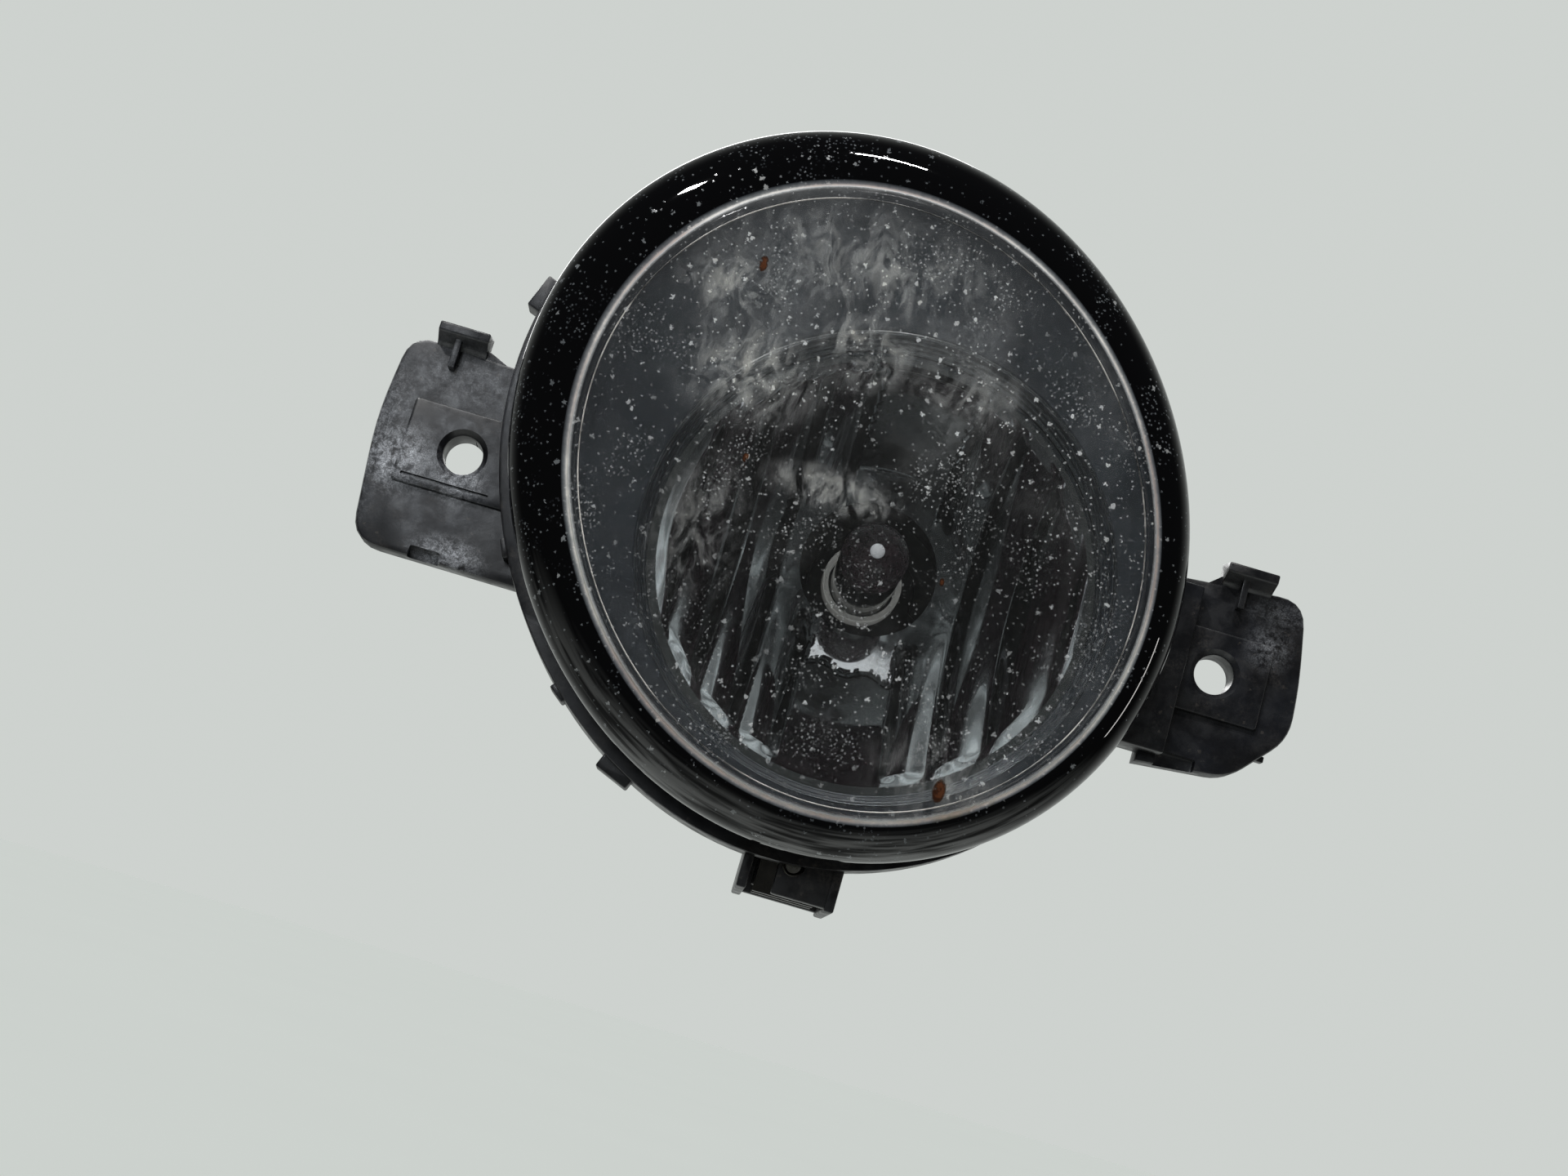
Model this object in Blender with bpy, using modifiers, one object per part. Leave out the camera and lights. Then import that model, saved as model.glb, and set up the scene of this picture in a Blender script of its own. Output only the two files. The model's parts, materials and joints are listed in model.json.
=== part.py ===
"""Car fog light: a sealed lamp unit that tilts inside a fixed mounting frame.

Metres, +Z up. The lens faces -Y. The origin lies on the bulb's axis, in the plane in which the
rear seats of the two ears rest against the car.
"""

import math

import bmesh
import bpy
from mathutils import Matrix, Vector

# Fits
GAP = 0.0003  # between pieces that touch
OVERLAP = 0.0006  # how far shapes of one piece run into each other

# Fineness of round shapes, in sides
OVAL_SIDES = 48
TURNED_SIDES = 20

# Front view. The lamp's outline is a circle stretched along a slanted long axis.
LONG_AXIS = math.radians(-56.9)
RIM_CENTRE = Vector((-0.0075, 0.0040))
RIM_RADIUS = 0.0550
RIM_STRETCH = 0.0031
RIM_BAND = 0.0083  # from the lens's face out to its widest
FACE_CENTRE = Vector((-0.0053, 0.0018))
FACE_STRETCH = 0.0028
APERTURE_CENTRE = Vector((-0.0005, -0.0069))
APERTURE_INSET = 0.0190  # how much smaller the round aperture is than the rim
BULB_CENTRE = Vector((0.0, 0.0))

# Mounting frame
FRAME_FRONT = -0.0090
FRAME_PLATE = 0.0028
FRAME_EDGE_DEPTH = 0.0080
FRAME_EDGE_WALL = 0.0018
FRAME_CENTRE = Vector((-0.0095, 0.0045))
FRAME_MARGIN = 0.0010  # how much larger the frame's outline is than the rim
FRAME_STRETCH = 0.0036
BOWL_ROOM = 0.0030  # between the bowl and the frame's opening
EAR_FRONT = -0.0050
EAR_PLATE = 0.0026
EAR_EDGE_BACK = -0.0006
EAR_EDGE_WALL = 0.0018
EAR_HOLE_Z = -0.0046
LEFT_HOLE_BEYOND_RIM = 0.0061
RIGHT_HOLE_BEYOND_RIM = 0.0100
EAR_HOLE_RADIUS = 0.0032
EAR_HOLE_LIP = 0.0009
EAR_SEAT_RADIUS = 0.0075
EAR_PAD_HEIGHT = 0.0008
BLOCK_LENGTH = 0.0095
FRAME_OPENING_MARGIN = 0.0005  # from the frame's opening to the block
BLOCK_ABOVE = 0.0150
BLOCK_BELOW = 0.0130
BLOCK_OVER_EAR = 0.0060  # how far the ear runs into the block
TAB_WIDTH = 0.0084
TAB_HEIGHT = 0.0052
TAB_REACH = 0.0030
TAB_WALL = 0.0015
TAB_ROOT = 0.0030  # below the ear's top edge
TAB_DROP = 0.0006  # from the hook's top down to its tip
TAB_RIB = 0.0012
TAB_RIB_HEIGHT = 0.0019
LEFT_TAB = (-0.0054, 0.0152)  # middle and foot, from the hole's centre
RIGHT_TAB = (0.0018, 0.0135)
LEFT_TAB_SLOPE = 0.0046
RIGHT_TAB_SLOPE = 0.0030

# Outlines of the ears: x and z from the hole's centre, and the corner's radius
LEFT_EAR = ((-0.0140, 0.0172, 0.0035), (-0.0153, 0.0026, 0.0120), (-0.0130, -0.0182, 0.0035))
LEFT_EAR_ROOT = (0.0156, -0.0184)  # top and bottom at the block
RIGHT_EAR = (
    (0.0061, -0.0156, 0.0025),
    (0.0143, -0.0068, 0.0030),
    (0.0139, 0.0026, 0.0100),
    (0.0117, 0.0160, 0.0035),
)
RIGHT_EAR_ROOT = (0.0142, -0.0171)

# Lugs on the frame's edge, for the trim
EDGE_LUG_ANGLES = (160, 248)
EDGE_LUG_HEIGHT = 0.0018
EDGE_LUG_ROOT = 0.0010
EDGE_LUG_WIDTH = 0.0060
EDGE_LUG_BACK = -0.0035

# Lamp unit, from the frame forwards
TILT_ROOM = 0.0050
TRAY_WALL = 0.0020
LIP_HEIGHT = 0.0035
LIP_WALL = 0.0016
LIP_ROOM = 0.0012  # between the lip and the lens's skirt
SEAL_THICKNESS = 0.0013
SEAL_WIDTH = 0.0022
SKIRT_DEPTH = 0.0046
RIM_DEPTH = 0.0065
LENS_WALL = 0.0025
LENS_DOME = 0.0015
FACE_STEP = 0.0006
FACE_INSET = 0.0010  # how much smaller the inside of the face is
BEZEL_PLATE = 0.0015
BEZEL_BEHIND_LENS = 0.0025
BEZEL_ROOM = 0.0020
TUBE_TAPER = 0.0012  # of the tube behind the bezel's round opening
TUBE_WALL = 0.0014
REFLECTOR_WALL = 0.0020
REFLECTOR_FLANGE = 0.0017
REFLECTOR_INSET = 0.0025  # how much smaller the reflector's mouth is than the aperture
FLANGE_INSET = 0.0012  # how much smaller the reflector's flange is than the bowl

# Housing, behind the tray
HOUSING_WALL = 0.0022
BOWL_REACH = 0.0035  # how much larger the bowl is than the aperture
HOUSING_BACK = 0.0360
REAR_WALL = 0.0025
BOWL_SHOULDER = -0.0020
NECK_LENGTH = 0.0060
NECK_ROOM = 0.0027  # between the bulb's lugs and the neck
VENT_Y = 0.0080
VENT_RADIUS = 0.0030
VENT_BORE = 0.0014
VENT_LENGTH = 0.0050
VENT_CAP_WALL = 0.0017
VENT_ROOT = 0.0068  # how far the pipe runs into the bowl
VENT_DEPTH = 0.0120  # how far its bore runs, into the bowl's inside

# Pivots of the tilt
PIVOT_Y = -0.0050
PIN_RADIUS = 0.0020
PIN_LENGTH = 0.0110
BUSH_WALL = 0.0012
BUSH_FLANGE = 0.0006
BUSH_FLANGE_RADIUS = 0.0044
BUSH_DEPTH = 0.0022
PIVOT_BOSS_RADIUS = 0.0055
PIVOT_BOSS_LENGTH = 0.0016

# Aim adjuster
SCREW_X = 0.0007
NUT_BELOW_BOWL = 0.0016
THREAD_RADIUS = 0.0020
JOURNAL_RADIUS = 0.0015
GROOVE_RADIUS = 0.0016
HEAD_FLANGE_RADIUS = 0.0045
HEAD_RADIUS = 0.0034
HEAD_LENGTH = 0.0040
HEAD_FLANGE = 0.0015
JOURNAL_LENGTH = 0.0025
DRIVE_SLOT_WIDTH = 0.0012
DRIVE_SLOT_LENGTH = 0.0044
DRIVE_SLOT_DEPTH = 0.0020
CLIP_THICKNESS = 0.0008
CLIP_RADIUS = 0.0039
NUT_WAIST = 0.0070
NUT_LIP = 0.0015  # how far the nut's ends stand out from its waist
NUT_FLANGE = 0.0022
NUT_Y = 0.0050
FORK_PLATE = 0.0024
FORK_PLAY = 0.0004  # on each side of the fork, in the nut's groove
FORK_ARM = 0.0016
FORK_ROOT = 0.0055  # how far the fork runs into the bowl
FORK_SHORT = 0.0010  # from the fork's ends to the nut's lowest face
FORK_LIFT = 0.0008  # over the nut's waist, for the fork's arc
CHANNEL_ROOM = 0.0013
CHANNEL_WALL = 0.0016
CHANNEL_BACK = 0.0176
CHANNEL_END_WALL = 0.0024
CHANNEL_FRONT_WALL = 0.0030
CHANNEL_BELOW_NUT = 0.0005
CHANNEL_ABOVE_SCREW = 0.0044

# Fasteners of the reflector
FIXING_ANGLES = (45, 120, 195)
FIXING_RADIUS = 0.0028  # outside the bowl
FIXING_SHANK = 0.00125
FIXING_SHANK_LENGTH = 0.0055
FIXING_HEAD = 0.0027
FIXING_HEAD_HEIGHT = 0.0014
FIXING_BOSS = 0.0030
FIXING_BOSS_FLOOR = 0.0008
FIXING_EAR = 0.0042

# Bulb, measured from the housing's back forwards (ahead) or backwards (behind)
GLASS_RADIUS = 0.00565
GLASS_WALL = 0.0008
GLASS_TIP_AHEAD = 0.0385
FILAMENT_AHEAD = 0.0250
FILAMENT_LENGTH = 0.0050
FILAMENT_TURNS = 5
FILAMENT_RADIUS = 0.0009
WIRE_RADIUS = 0.0003
LEAD_SPREAD = 0.0024
COLLAR_WALL = 0.00105
COLLAR_AHEAD = 0.0095
COLLAR_LENGTH = 0.0044
PLUG_RADIUS = 0.0094
PLUG_AHEAD = 0.0048
LUG_HEIGHT = 0.0024
LUG_WIDTH = 0.0060
LUG_THICKNESS = 0.0020
LUG_ANGLES = (90, 210, 330)
BULB_TURN = 45
SEAL_RING_THICKNESS = 0.0014
SEAL_RING_WIDTH = 0.0026
BASE_FLANGE_RADIUS = 0.0150
BASE_FLANGE = 0.0024
HOLE_BEHIND_FLAME = 0.0037  # from the filament's middle to the reflector's hole
REFLECTOR_HOLE = 0.0117
BASE_WIDTH = 0.0190
BASE_DEPTH = 0.0190
BASE_TOP = 0.0095
BASE_BOTTOM = -0.0120
BASE_CORNER = 0.0030
SOCKET_INSET = 0.0004  # from the body's sides and back to the socket's
SOCKET_ROOT = 0.0010  # how far the socket runs up into the body
KEY_WIDTH = 0.0070
KEY_HEIGHT = 0.0022
KEY_ROOT = 0.0015
KEY_BOTTOM = -0.0280
KEY_TOP = -0.0200
SOCKET_OUTER_DEPTH = 0.0140
SOCKET_DROP = 0.0330
SOCKET_WALL = 0.0022
SOCKET_CAVITY = 0.0140
BLADE_WIDTH = 0.0028
BLADE_THICKNESS = 0.0008
BLADE_SPACING = 0.0056
BLADE_EXPOSED = 0.0095
BLADE_ROOTED = 0.0060

# Sizes that follow
APERTURE_RADIUS = RIM_RADIUS - APERTURE_INSET
FACE_RADIUS = RIM_RADIUS - RIM_BAND
BOWL_RADIUS = APERTURE_RADIUS + BOWL_REACH
TRAY_BACK = FRAME_FRONT - TILT_ROOM
TRAY_FRONT = TRAY_BACK - TRAY_WALL
SEAL_BACK = TRAY_FRONT - GAP
SEAL_FRONT = SEAL_BACK - SEAL_THICKNESS
SKIRT_BACK = SEAL_FRONT - GAP
RIM_WIDEST = SKIRT_BACK - SKIRT_DEPTH
FACE_Y = RIM_WIDEST - RIM_DEPTH
LIP_RADIUS = RIM_RADIUS - LENS_WALL - LIP_ROOM - GAP
LIP_FRONT = TRAY_FRONT - LIP_HEIGHT
BEZEL_FRONT = FACE_Y + LENS_WALL + BEZEL_BEHIND_LENS
BEZEL_RADIUS = RIM_RADIUS - LENS_WALL - BEZEL_ROOM - GAP
FLANGE_BACK = TRAY_FRONT - GAP
FLANGE_FRONT = FLANGE_BACK - REFLECTOR_FLANGE
MOUTH_RADIUS = APERTURE_RADIUS - REFLECTOR_INSET
FRAME_OPENING = BOWL_RADIUS + BOWL_ROOM
FRAME_RADIUS = RIM_RADIUS + FRAME_MARGIN
FILAMENT_Y = HOUSING_BACK - FILAMENT_AHEAD
REFLECTOR_BACK = FILAMENT_Y + HOLE_BEHIND_FLAME
PLUG_BORE = PLUG_RADIUS + GAP
LUG_RADIUS = PLUG_RADIUS + LUG_HEIGHT
NECK_RADIUS = LUG_RADIUS + NECK_ROOM + HOUSING_WALL
BASE_FRONT = HOUSING_BACK + SEAL_RING_THICKNESS + 2 * GAP
LEFT_HOLE_X = RIM_CENTRE.x - RIM_RADIUS - LEFT_HOLE_BEYOND_RIM
RIGHT_HOLE_X = RIM_CENTRE.x + RIM_RADIUS + RIGHT_HOLE_BEYOND_RIM
COLLAR_RADIUS = GLASS_RADIUS + GAP + COLLAR_WALL
NUT_FLANGE_WIDTH = NUT_WAIST + 2 * NUT_LIP
SCREW_Z = APERTURE_CENTRE.y - BOWL_RADIUS - NUT_BELOW_BOWL - NUT_FLANGE_WIDTH / 2
BOSS_END = BOWL_RADIUS + PIVOT_BOSS_LENGTH
BLOCK_START = FRAME_OPENING + FRAME_OPENING_MARGIN
CHANNEL_HALF = NUT_FLANGE_WIDTH / 2 + CHANNEL_ROOM
CHANNEL_FRONT = FRAME_FRONT + FRAME_PLATE - OVERLAP + CHANNEL_FRONT_WALL
PIVOT = Vector((APERTURE_CENTRE.x, PIVOT_Y, APERTURE_CENTRE.y))
FORWARDS = Vector((0, -1, 0))
BACKWARDS = Vector((0, 1, 0))


# ---------------------------------------------------------------- tools

def clear_scene():
    for obj in list(bpy.data.objects):
        bpy.data.objects.remove(obj, do_unlink=True)


def collection(name, hidden=False):
    made = bpy.data.collections.new(name)
    made.hide_render = hidden
    bpy.context.scene.collection.children.link(made)
    return made


def material(name, colour, roughness, metallic=0.0, transmission=0.0):
    made = bpy.data.materials.new(name)
    made.use_nodes = True
    shader = made.node_tree.nodes["Principled BSDF"]
    shader.inputs["Base Color"].default_value = (*colour, 1.0)
    shader.inputs["Roughness"].default_value = roughness
    shader.inputs["Metallic"].default_value = metallic
    shader.inputs["Transmission Weight"].default_value = transmission
    return made


def object_of(name, mesh, finish=None):
    """A new object. With a finish it is a piece of the lamp, without one it is a helper shape."""
    obj = bpy.data.objects.new(name, mesh)
    if finish is None:
        helpers.objects.link(obj)
        obj.hide_render = True
        obj.display_type = "WIRE"
    else:
        pieces.objects.link(obj)
        mesh.materials.append(finish)
        mesh.shade_smooth()
        mesh.set_sharp_from_angle(angle=math.radians(35))
    return obj


def mesh_from(name, shape):
    bmesh.ops.recalc_face_normals(shape, faces=shape.faces)
    mesh = bpy.data.meshes.new(name)
    shape.to_mesh(mesh)
    shape.free()
    return mesh


def cut(obj, cutter):
    modifier = obj.modifiers.new("cut " + cutter.name, "BOOLEAN")
    modifier.operation = "DIFFERENCE"
    modifier.object = cutter


def join(obj, other):
    modifier = obj.modifiers.new("join " + other.name, "BOOLEAN")
    modifier.operation = "UNION"
    modifier.object = other


def mix(start, end, share):
    return start + (end - start) * share


def ring(centre, radius, y, stretch=0.0):
    """Points around the circle, or the stretched circle, that lies in the plane at depth y."""
    points = []
    for side in range(OVAL_SIDES):
        angle = 2 * math.pi * side / OVAL_SIDES
        reach = radius + stretch * math.cos(2 * (angle - LONG_AXIS))
        x = centre.x + reach * math.cos(angle)
        z = centre.y + reach * math.sin(angle)
        points.append(Vector((x, y, z)))
    return points


def rim_ring(radius, y):
    return ring(RIM_CENTRE, radius, y, RIM_STRETCH)


def loft(name, rings, finish=None, closed=True):
    """A wall through rings of unlike outlines: closed on itself, or capped at both ends."""
    shape = bmesh.new()
    loops = [[shape.verts.new(point) for point in points] for points in rings]
    pairs = list(zip(loops, loops[1:]))
    if closed:
        pairs.append((loops[-1], loops[0]))
    else:
        shape.faces.new(loops[0])
        shape.faces.new(loops[-1])
    for first, second in pairs:
        for side in range(OVAL_SIDES):
            after = (side + 1) % OVAL_SIDES
            shape.faces.new((first[side], first[after], second[after], second[side]))
    bmesh.ops.triangulate(shape, faces=shape.faces)
    return object_of(name, mesh_from(name, shape), finish)


def turned(name, profile, place, towards, finish=None, closed=False, sides=TURNED_SIDES):
    """A turned shape. The profile holds (radius, distance along towards) pairs, outside first."""
    mesh = bpy.data.meshes.new(name)
    points = [(radius, 0.0, -along) for radius, along in profile]
    edges = [(n, n + 1) for n in range(len(points) - 1)]
    if closed:
        edges.append((len(points) - 1, 0))
    mesh.from_pydata(points, edges, [])
    obj = object_of(name, mesh, finish)
    obj.location = place
    obj.rotation_euler = Vector(towards).to_track_quat("-Z", "Y").to_euler()
    screw = obj.modifiers.new("turn", "SCREW")
    screw.steps = sides
    screw.render_steps = sides
    screw.use_merge_vertices = True
    screw.merge_threshold = 0.000001
    screw.use_smooth_shade = sides > 8
    return obj


def cylinder(name, radius, start, end, finish=None, sides=TURNED_SIDES):
    """A cylinder from one point to another."""
    start, end = Vector(start), Vector(end)
    shape = bmesh.new()
    bmesh.ops.create_cone(
        shape, cap_ends=True, segments=sides, radius1=radius, radius2=radius, depth=(end - start).length
    )
    obj = object_of(name, mesh_from(name, shape), finish)
    obj.location = (start + end) / 2
    obj.rotation_euler = (end - start).to_track_quat("Z", "Y").to_euler()
    return obj


def box(name, x, y, z, finish=None):
    """A box from pairs of lowest and highest x, y and z."""
    shape = bmesh.new()
    bmesh.ops.create_cube(shape, size=1.0)
    size = Matrix.Diagonal((x[1] - x[0], y[1] - y[0], z[1] - z[0], 1.0))
    bmesh.ops.transform(shape, matrix=size, verts=shape.verts)
    obj = object_of(name, mesh_from(name, shape), finish)
    obj.location = ((x[0] + x[1]) / 2, (y[0] + y[1]) / 2, (z[0] + z[1]) / 2)
    return obj


def rounded(corners, steps=3):
    """An outline through (x, z, radius) corners, each rounded by an arc of its radius."""
    points = []
    for n, (x, z, radius) in enumerate(corners):
        corner = Vector((x, z))
        back = Vector(corners[n - 1][:2]) - corner
        ahead = Vector(corners[(n + 1) % len(corners)][:2]) - corner
        if radius == 0:
            points.append(corner)
            continue
        half = back.angle(ahead) / 2
        inwards = (back.normalized() + ahead.normalized()).normalized()
        middle = corner + inwards * radius / math.sin(half)
        first = corner + back.normalized() * radius / math.tan(half) - middle
        last = corner + ahead.normalized() * radius / math.tan(half) - middle
        sweep = first.angle_signed(last)
        for step in range(steps + 1):
            points.append(middle + Matrix.Rotation(-sweep * step / steps, 2) @ first)
    return points


def inset(points, distance):
    """An outline that runs counterclockwise, moved inwards by the distance."""
    moved = []
    for n, point in enumerate(points):
        before = (point - points[n - 1]).normalized()
        after = (points[(n + 1) % len(points)] - point).normalized()
        inwards = Vector((-before.y - after.y, before.x + after.x)).normalized()
        moved.append(point + inwards * distance / inwards.dot(Vector((-before.y, before.x))))
    return moved


def plate(name, outline, front, back, finish=None):
    """A flat outline of (x, z) points, filled from depth front to depth back."""
    curve = bpy.data.curves.new(name, "CURVE")
    curve.dimensions = "2D"
    curve.fill_mode = "BOTH"
    curve.extrude = (back - front) / 2
    spline = curve.splines.new("POLY")
    spline.points.add(len(outline) - 1)
    spline.use_cyclic_u = True
    for point, corner in zip(spline.points, outline):
        point.co = (corner[0], corner[1], 0.0, 1.0)
    drawn = bpy.data.objects.new(name + "_curve", curve)
    helpers.objects.link(drawn)
    drawn.location = (0.0, (front + back) / 2, 0.0)
    drawn.rotation_euler = (math.radians(90), 0.0, 0.0)
    return solid_from(name, drawn, finish)


def solid_from(name, drawn, finish):
    """The mesh of a curve object, closed where its caps meet its sides. The curve goes."""
    bpy.context.view_layer.update()
    graph = bpy.context.evaluated_depsgraph_get()
    mesh = bpy.data.meshes.new_from_object(drawn.evaluated_get(graph))
    shape = bmesh.new()
    shape.from_mesh(mesh)
    bmesh.ops.remove_doubles(shape, verts=shape.verts, dist=0.000001)
    bmesh.ops.recalc_face_normals(shape, faces=shape.faces)
    shape.to_mesh(mesh)
    shape.free()
    mesh.materials.clear()
    obj = object_of(name, mesh, finish)
    obj.matrix_world = drawn.matrix_world.copy()
    bpy.data.objects.remove(drawn, do_unlink=True)
    return obj


def round_point(angle, radius, centre, y):
    """The point at an angle in degrees on a circle around centre, at depth y."""
    turn = math.radians(angle)
    return Vector((centre.x + radius * math.cos(turn), y, centre.y + radius * math.sin(turn)))


def axis_empty(name, place, parent=None):
    """An empty on a joint's axis. The pieces that move with the joint are its children."""
    empty = bpy.data.objects.new(name, None)
    pieces.objects.link(empty)
    empty.location = place if parent is None else Vector(place) - parent.location
    empty.empty_display_size = 0.01
    empty.parent = parent
    return empty


def hang_on(parent, *objects):
    """The objects follow the parent and stay where they are."""
    bpy.context.view_layer.update()
    for obj in objects:
        obj.parent = parent
        obj.matrix_parent_inverse = parent.matrix_world.inverted()


# ---------------------------------------------------------------- lamp unit

def make_lens(finish):
    outside, inside = [], []
    inner_radius = FACE_RADIUS - FACE_INSET
    outer_radius = FACE_RADIUS + FACE_STEP
    for share in (0.3, 0.65, 1.0):
        y = FACE_Y - LENS_DOME * (1 - share * share)
        stretch = FACE_STRETCH * share
        outside.append(ring(FACE_CENTRE, FACE_RADIUS * share, y, stretch))
        inside.append(ring(FACE_CENTRE, inner_radius * share, y + LENS_WALL, stretch))
    step_y = FACE_Y + FACE_STEP
    outside.append(ring(FACE_CENTRE, outer_radius, step_y, FACE_STRETCH))
    for step in (1, 2, 3, 4):
        turn = math.pi / 2 * step / 4
        out = math.sin(turn)
        down = 1 - math.cos(turn)
        centre = mix(FACE_CENTRE, RIM_CENTRE, out)
        stretch = mix(FACE_STRETCH, RIM_STRETCH, out)
        radius = mix(outer_radius, RIM_RADIUS, out)
        outside.append(ring(centre, radius, mix(step_y, RIM_WIDEST, down), stretch))
        radius = mix(inner_radius, RIM_RADIUS - LENS_WALL, out)
        inside.append(ring(centre, radius, mix(FACE_Y + LENS_WALL, RIM_WIDEST, down), stretch))
    outside.append(rim_ring(RIM_RADIUS - FACE_STEP, SKIRT_BACK))
    inside.append(rim_ring(RIM_RADIUS - LENS_WALL, SKIRT_BACK))
    return loft("lens", outside + inside[::-1], finish, closed=False)


def make_lens_seal(finish):
    outer = RIM_RADIUS - FACE_STEP
    inner = outer - SEAL_WIDTH
    rings = [
        rim_ring(outer, SEAL_FRONT),
        rim_ring(outer, SEAL_BACK),
        rim_ring(inner, SEAL_BACK),
        rim_ring(inner, SEAL_FRONT),
    ]
    return loft("lens_seal", rings, finish)


def make_bezel(finish):
    plate_back = BEZEL_FRONT + BEZEL_PLATE
    edge_back = LIP_FRONT - GAP
    tube_back = FLANGE_FRONT - GAP
    mouth = APERTURE_RADIUS + TUBE_TAPER / 3
    end = mouth - TUBE_TAPER
    rings = [
        rim_ring(BEZEL_RADIUS, BEZEL_FRONT),
        ring(APERTURE_CENTRE, mouth, BEZEL_FRONT),
        ring(APERTURE_CENTRE, end, tube_back),
        ring(APERTURE_CENTRE, end + TUBE_WALL, tube_back),
        ring(APERTURE_CENTRE, mouth + TUBE_WALL - GAP, plate_back),
        rim_ring(BEZEL_RADIUS - BEZEL_PLATE, plate_back),
        rim_ring(BEZEL_RADIUS - BEZEL_PLATE, edge_back),
        rim_ring(BEZEL_RADIUS, edge_back),
    ]
    return loft("bezel", rings, finish)


def bowl_of_reflector(offset, share):
    """A ring of the reflector, from its mouth at share 0 to its hole at share 1."""
    radius = math.sqrt(mix(MOUTH_RADIUS ** 2, REFLECTOR_HOLE ** 2, share))
    centre = mix(APERTURE_CENTRE, BULB_CENTRE, share)
    return ring(centre, radius + offset, mix(FLANGE_FRONT, REFLECTOR_BACK, share) + offset * share)


def make_reflector(finish):
    shares = (0.0, 0.2, 0.4, 0.6, 0.8, 1.0)
    flange_radius = BOWL_RADIUS - FLANGE_INSET
    rings = [ring(APERTURE_CENTRE, flange_radius, FLANGE_FRONT)]
    rings += [bowl_of_reflector(0.0, share) for share in shares]
    rings += [bowl_of_reflector(REFLECTOR_WALL, share) for share in shares[:0:-1]]
    rings.append(ring(APERTURE_CENTRE, MOUTH_RADIUS + REFLECTOR_WALL, FLANGE_BACK))
    rings.append(ring(APERTURE_CENTRE, flange_radius, FLANGE_BACK))
    reflector = loft("reflector", rings, finish)
    for n, angle in enumerate(FIXING_ANGLES, 1):
        skin = 0.0001
        front = fixing_point(angle, FLANGE_FRONT + skin)
        back = fixing_point(angle, FLANGE_BACK - skin)
        join(reflector, cylinder(f"reflector_ear_{n}", FIXING_EAR, front, back))
        front = fixing_point(angle, FLANGE_FRONT - OVERLAP)
        back = fixing_point(angle, FLANGE_BACK + OVERLAP)
        cut(reflector, cylinder(f"reflector_ear_hole_{n}", FIXING_SHANK + GAP, front, back, sides=12))
    return reflector


def fixing_point(angle, y):
    return round_point(angle, BOWL_RADIUS + FIXING_RADIUS, APERTURE_CENTRE, y)


def make_reflector_screw(number, finish):
    head_front = FLANGE_FRONT - GAP - FIXING_HEAD_HEIGHT
    shank_end = FIXING_HEAD_HEIGHT + FIXING_SHANK_LENGTH
    profile = [
        (0.0, 0.0),
        (FIXING_HEAD * 0.7, 0.0),
        (FIXING_HEAD, FIXING_HEAD_HEIGHT * 0.6),
        (FIXING_HEAD, FIXING_HEAD_HEIGHT),
        (FIXING_SHANK, FIXING_HEAD_HEIGHT),
        (FIXING_SHANK, shank_end),
        (0.0, shank_end),
    ]
    place = fixing_point(FIXING_ANGLES[number - 1], head_front)
    return turned(f"reflector_screw_{number}", profile, place, BACKWARDS, finish, sides=12)


def bowl_of_housing(offset, share):
    """A ring of the bowl behind its shoulder, from the shoulder at share 0 to the neck at share 1."""
    ease = (math.cos(math.pi * share) + 1) / 2
    centre = mix(BULB_CENTRE, APERTURE_CENTRE, ease)
    y = mix(BOWL_SHOULDER, HOUSING_BACK - NECK_LENGTH, share)
    return ring(centre, mix(NECK_RADIUS, BOWL_RADIUS, ease) + offset, y)


def housing_shell(finish):
    shares = (0.0, 0.2, 0.4, 0.6, 0.8, 1.0)
    neck_floor = HOUSING_BACK - REAR_WALL
    rings = [
        rim_ring(RIM_RADIUS - FACE_STEP, TRAY_BACK),
        rim_ring(RIM_RADIUS - FACE_STEP, TRAY_FRONT),
        rim_ring(LIP_RADIUS, TRAY_FRONT),
        rim_ring(LIP_RADIUS, LIP_FRONT),
        rim_ring(LIP_RADIUS - LIP_WALL, LIP_FRONT),
        rim_ring(LIP_RADIUS - LIP_WALL, TRAY_FRONT),
        ring(APERTURE_CENTRE, BOWL_RADIUS - HOUSING_WALL, TRAY_FRONT),
    ]
    rings += [bowl_of_housing(-HOUSING_WALL, share) for share in shares]
    rings += [
        ring(BULB_CENTRE, NECK_RADIUS - HOUSING_WALL, neck_floor),
        ring(BULB_CENTRE, PLUG_BORE, neck_floor),
        ring(BULB_CENTRE, PLUG_BORE, HOUSING_BACK),
        ring(BULB_CENTRE, NECK_RADIUS, HOUSING_BACK),
    ]
    rings += [bowl_of_housing(0.0, share) for share in shares[::-1]]
    rings.append(ring(APERTURE_CENTRE, BOWL_RADIUS, TRAY_BACK))
    return loft("housing", rings, finish)


def add_pivot_bosses(housing):
    for side, name in ((-1, "left"), (1, "right")):
        start = pivot_point(side, BOWL_RADIUS - HOUSING_WALL + 0.0004)
        end = pivot_point(side, BOSS_END)
        join(housing, cylinder(f"pivot_boss_{name}", PIVOT_BOSS_RADIUS, start, end))
        floor = pivot_point(side, BOSS_END - BUSH_DEPTH - GAP)
        mouth = pivot_point(side, BOSS_END + OVERLAP)
        bore = PIN_RADIUS + GAP + BUSH_WALL + GAP
        cut(housing, cylinder(f"pivot_bore_{name}", bore, floor, mouth))


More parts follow.
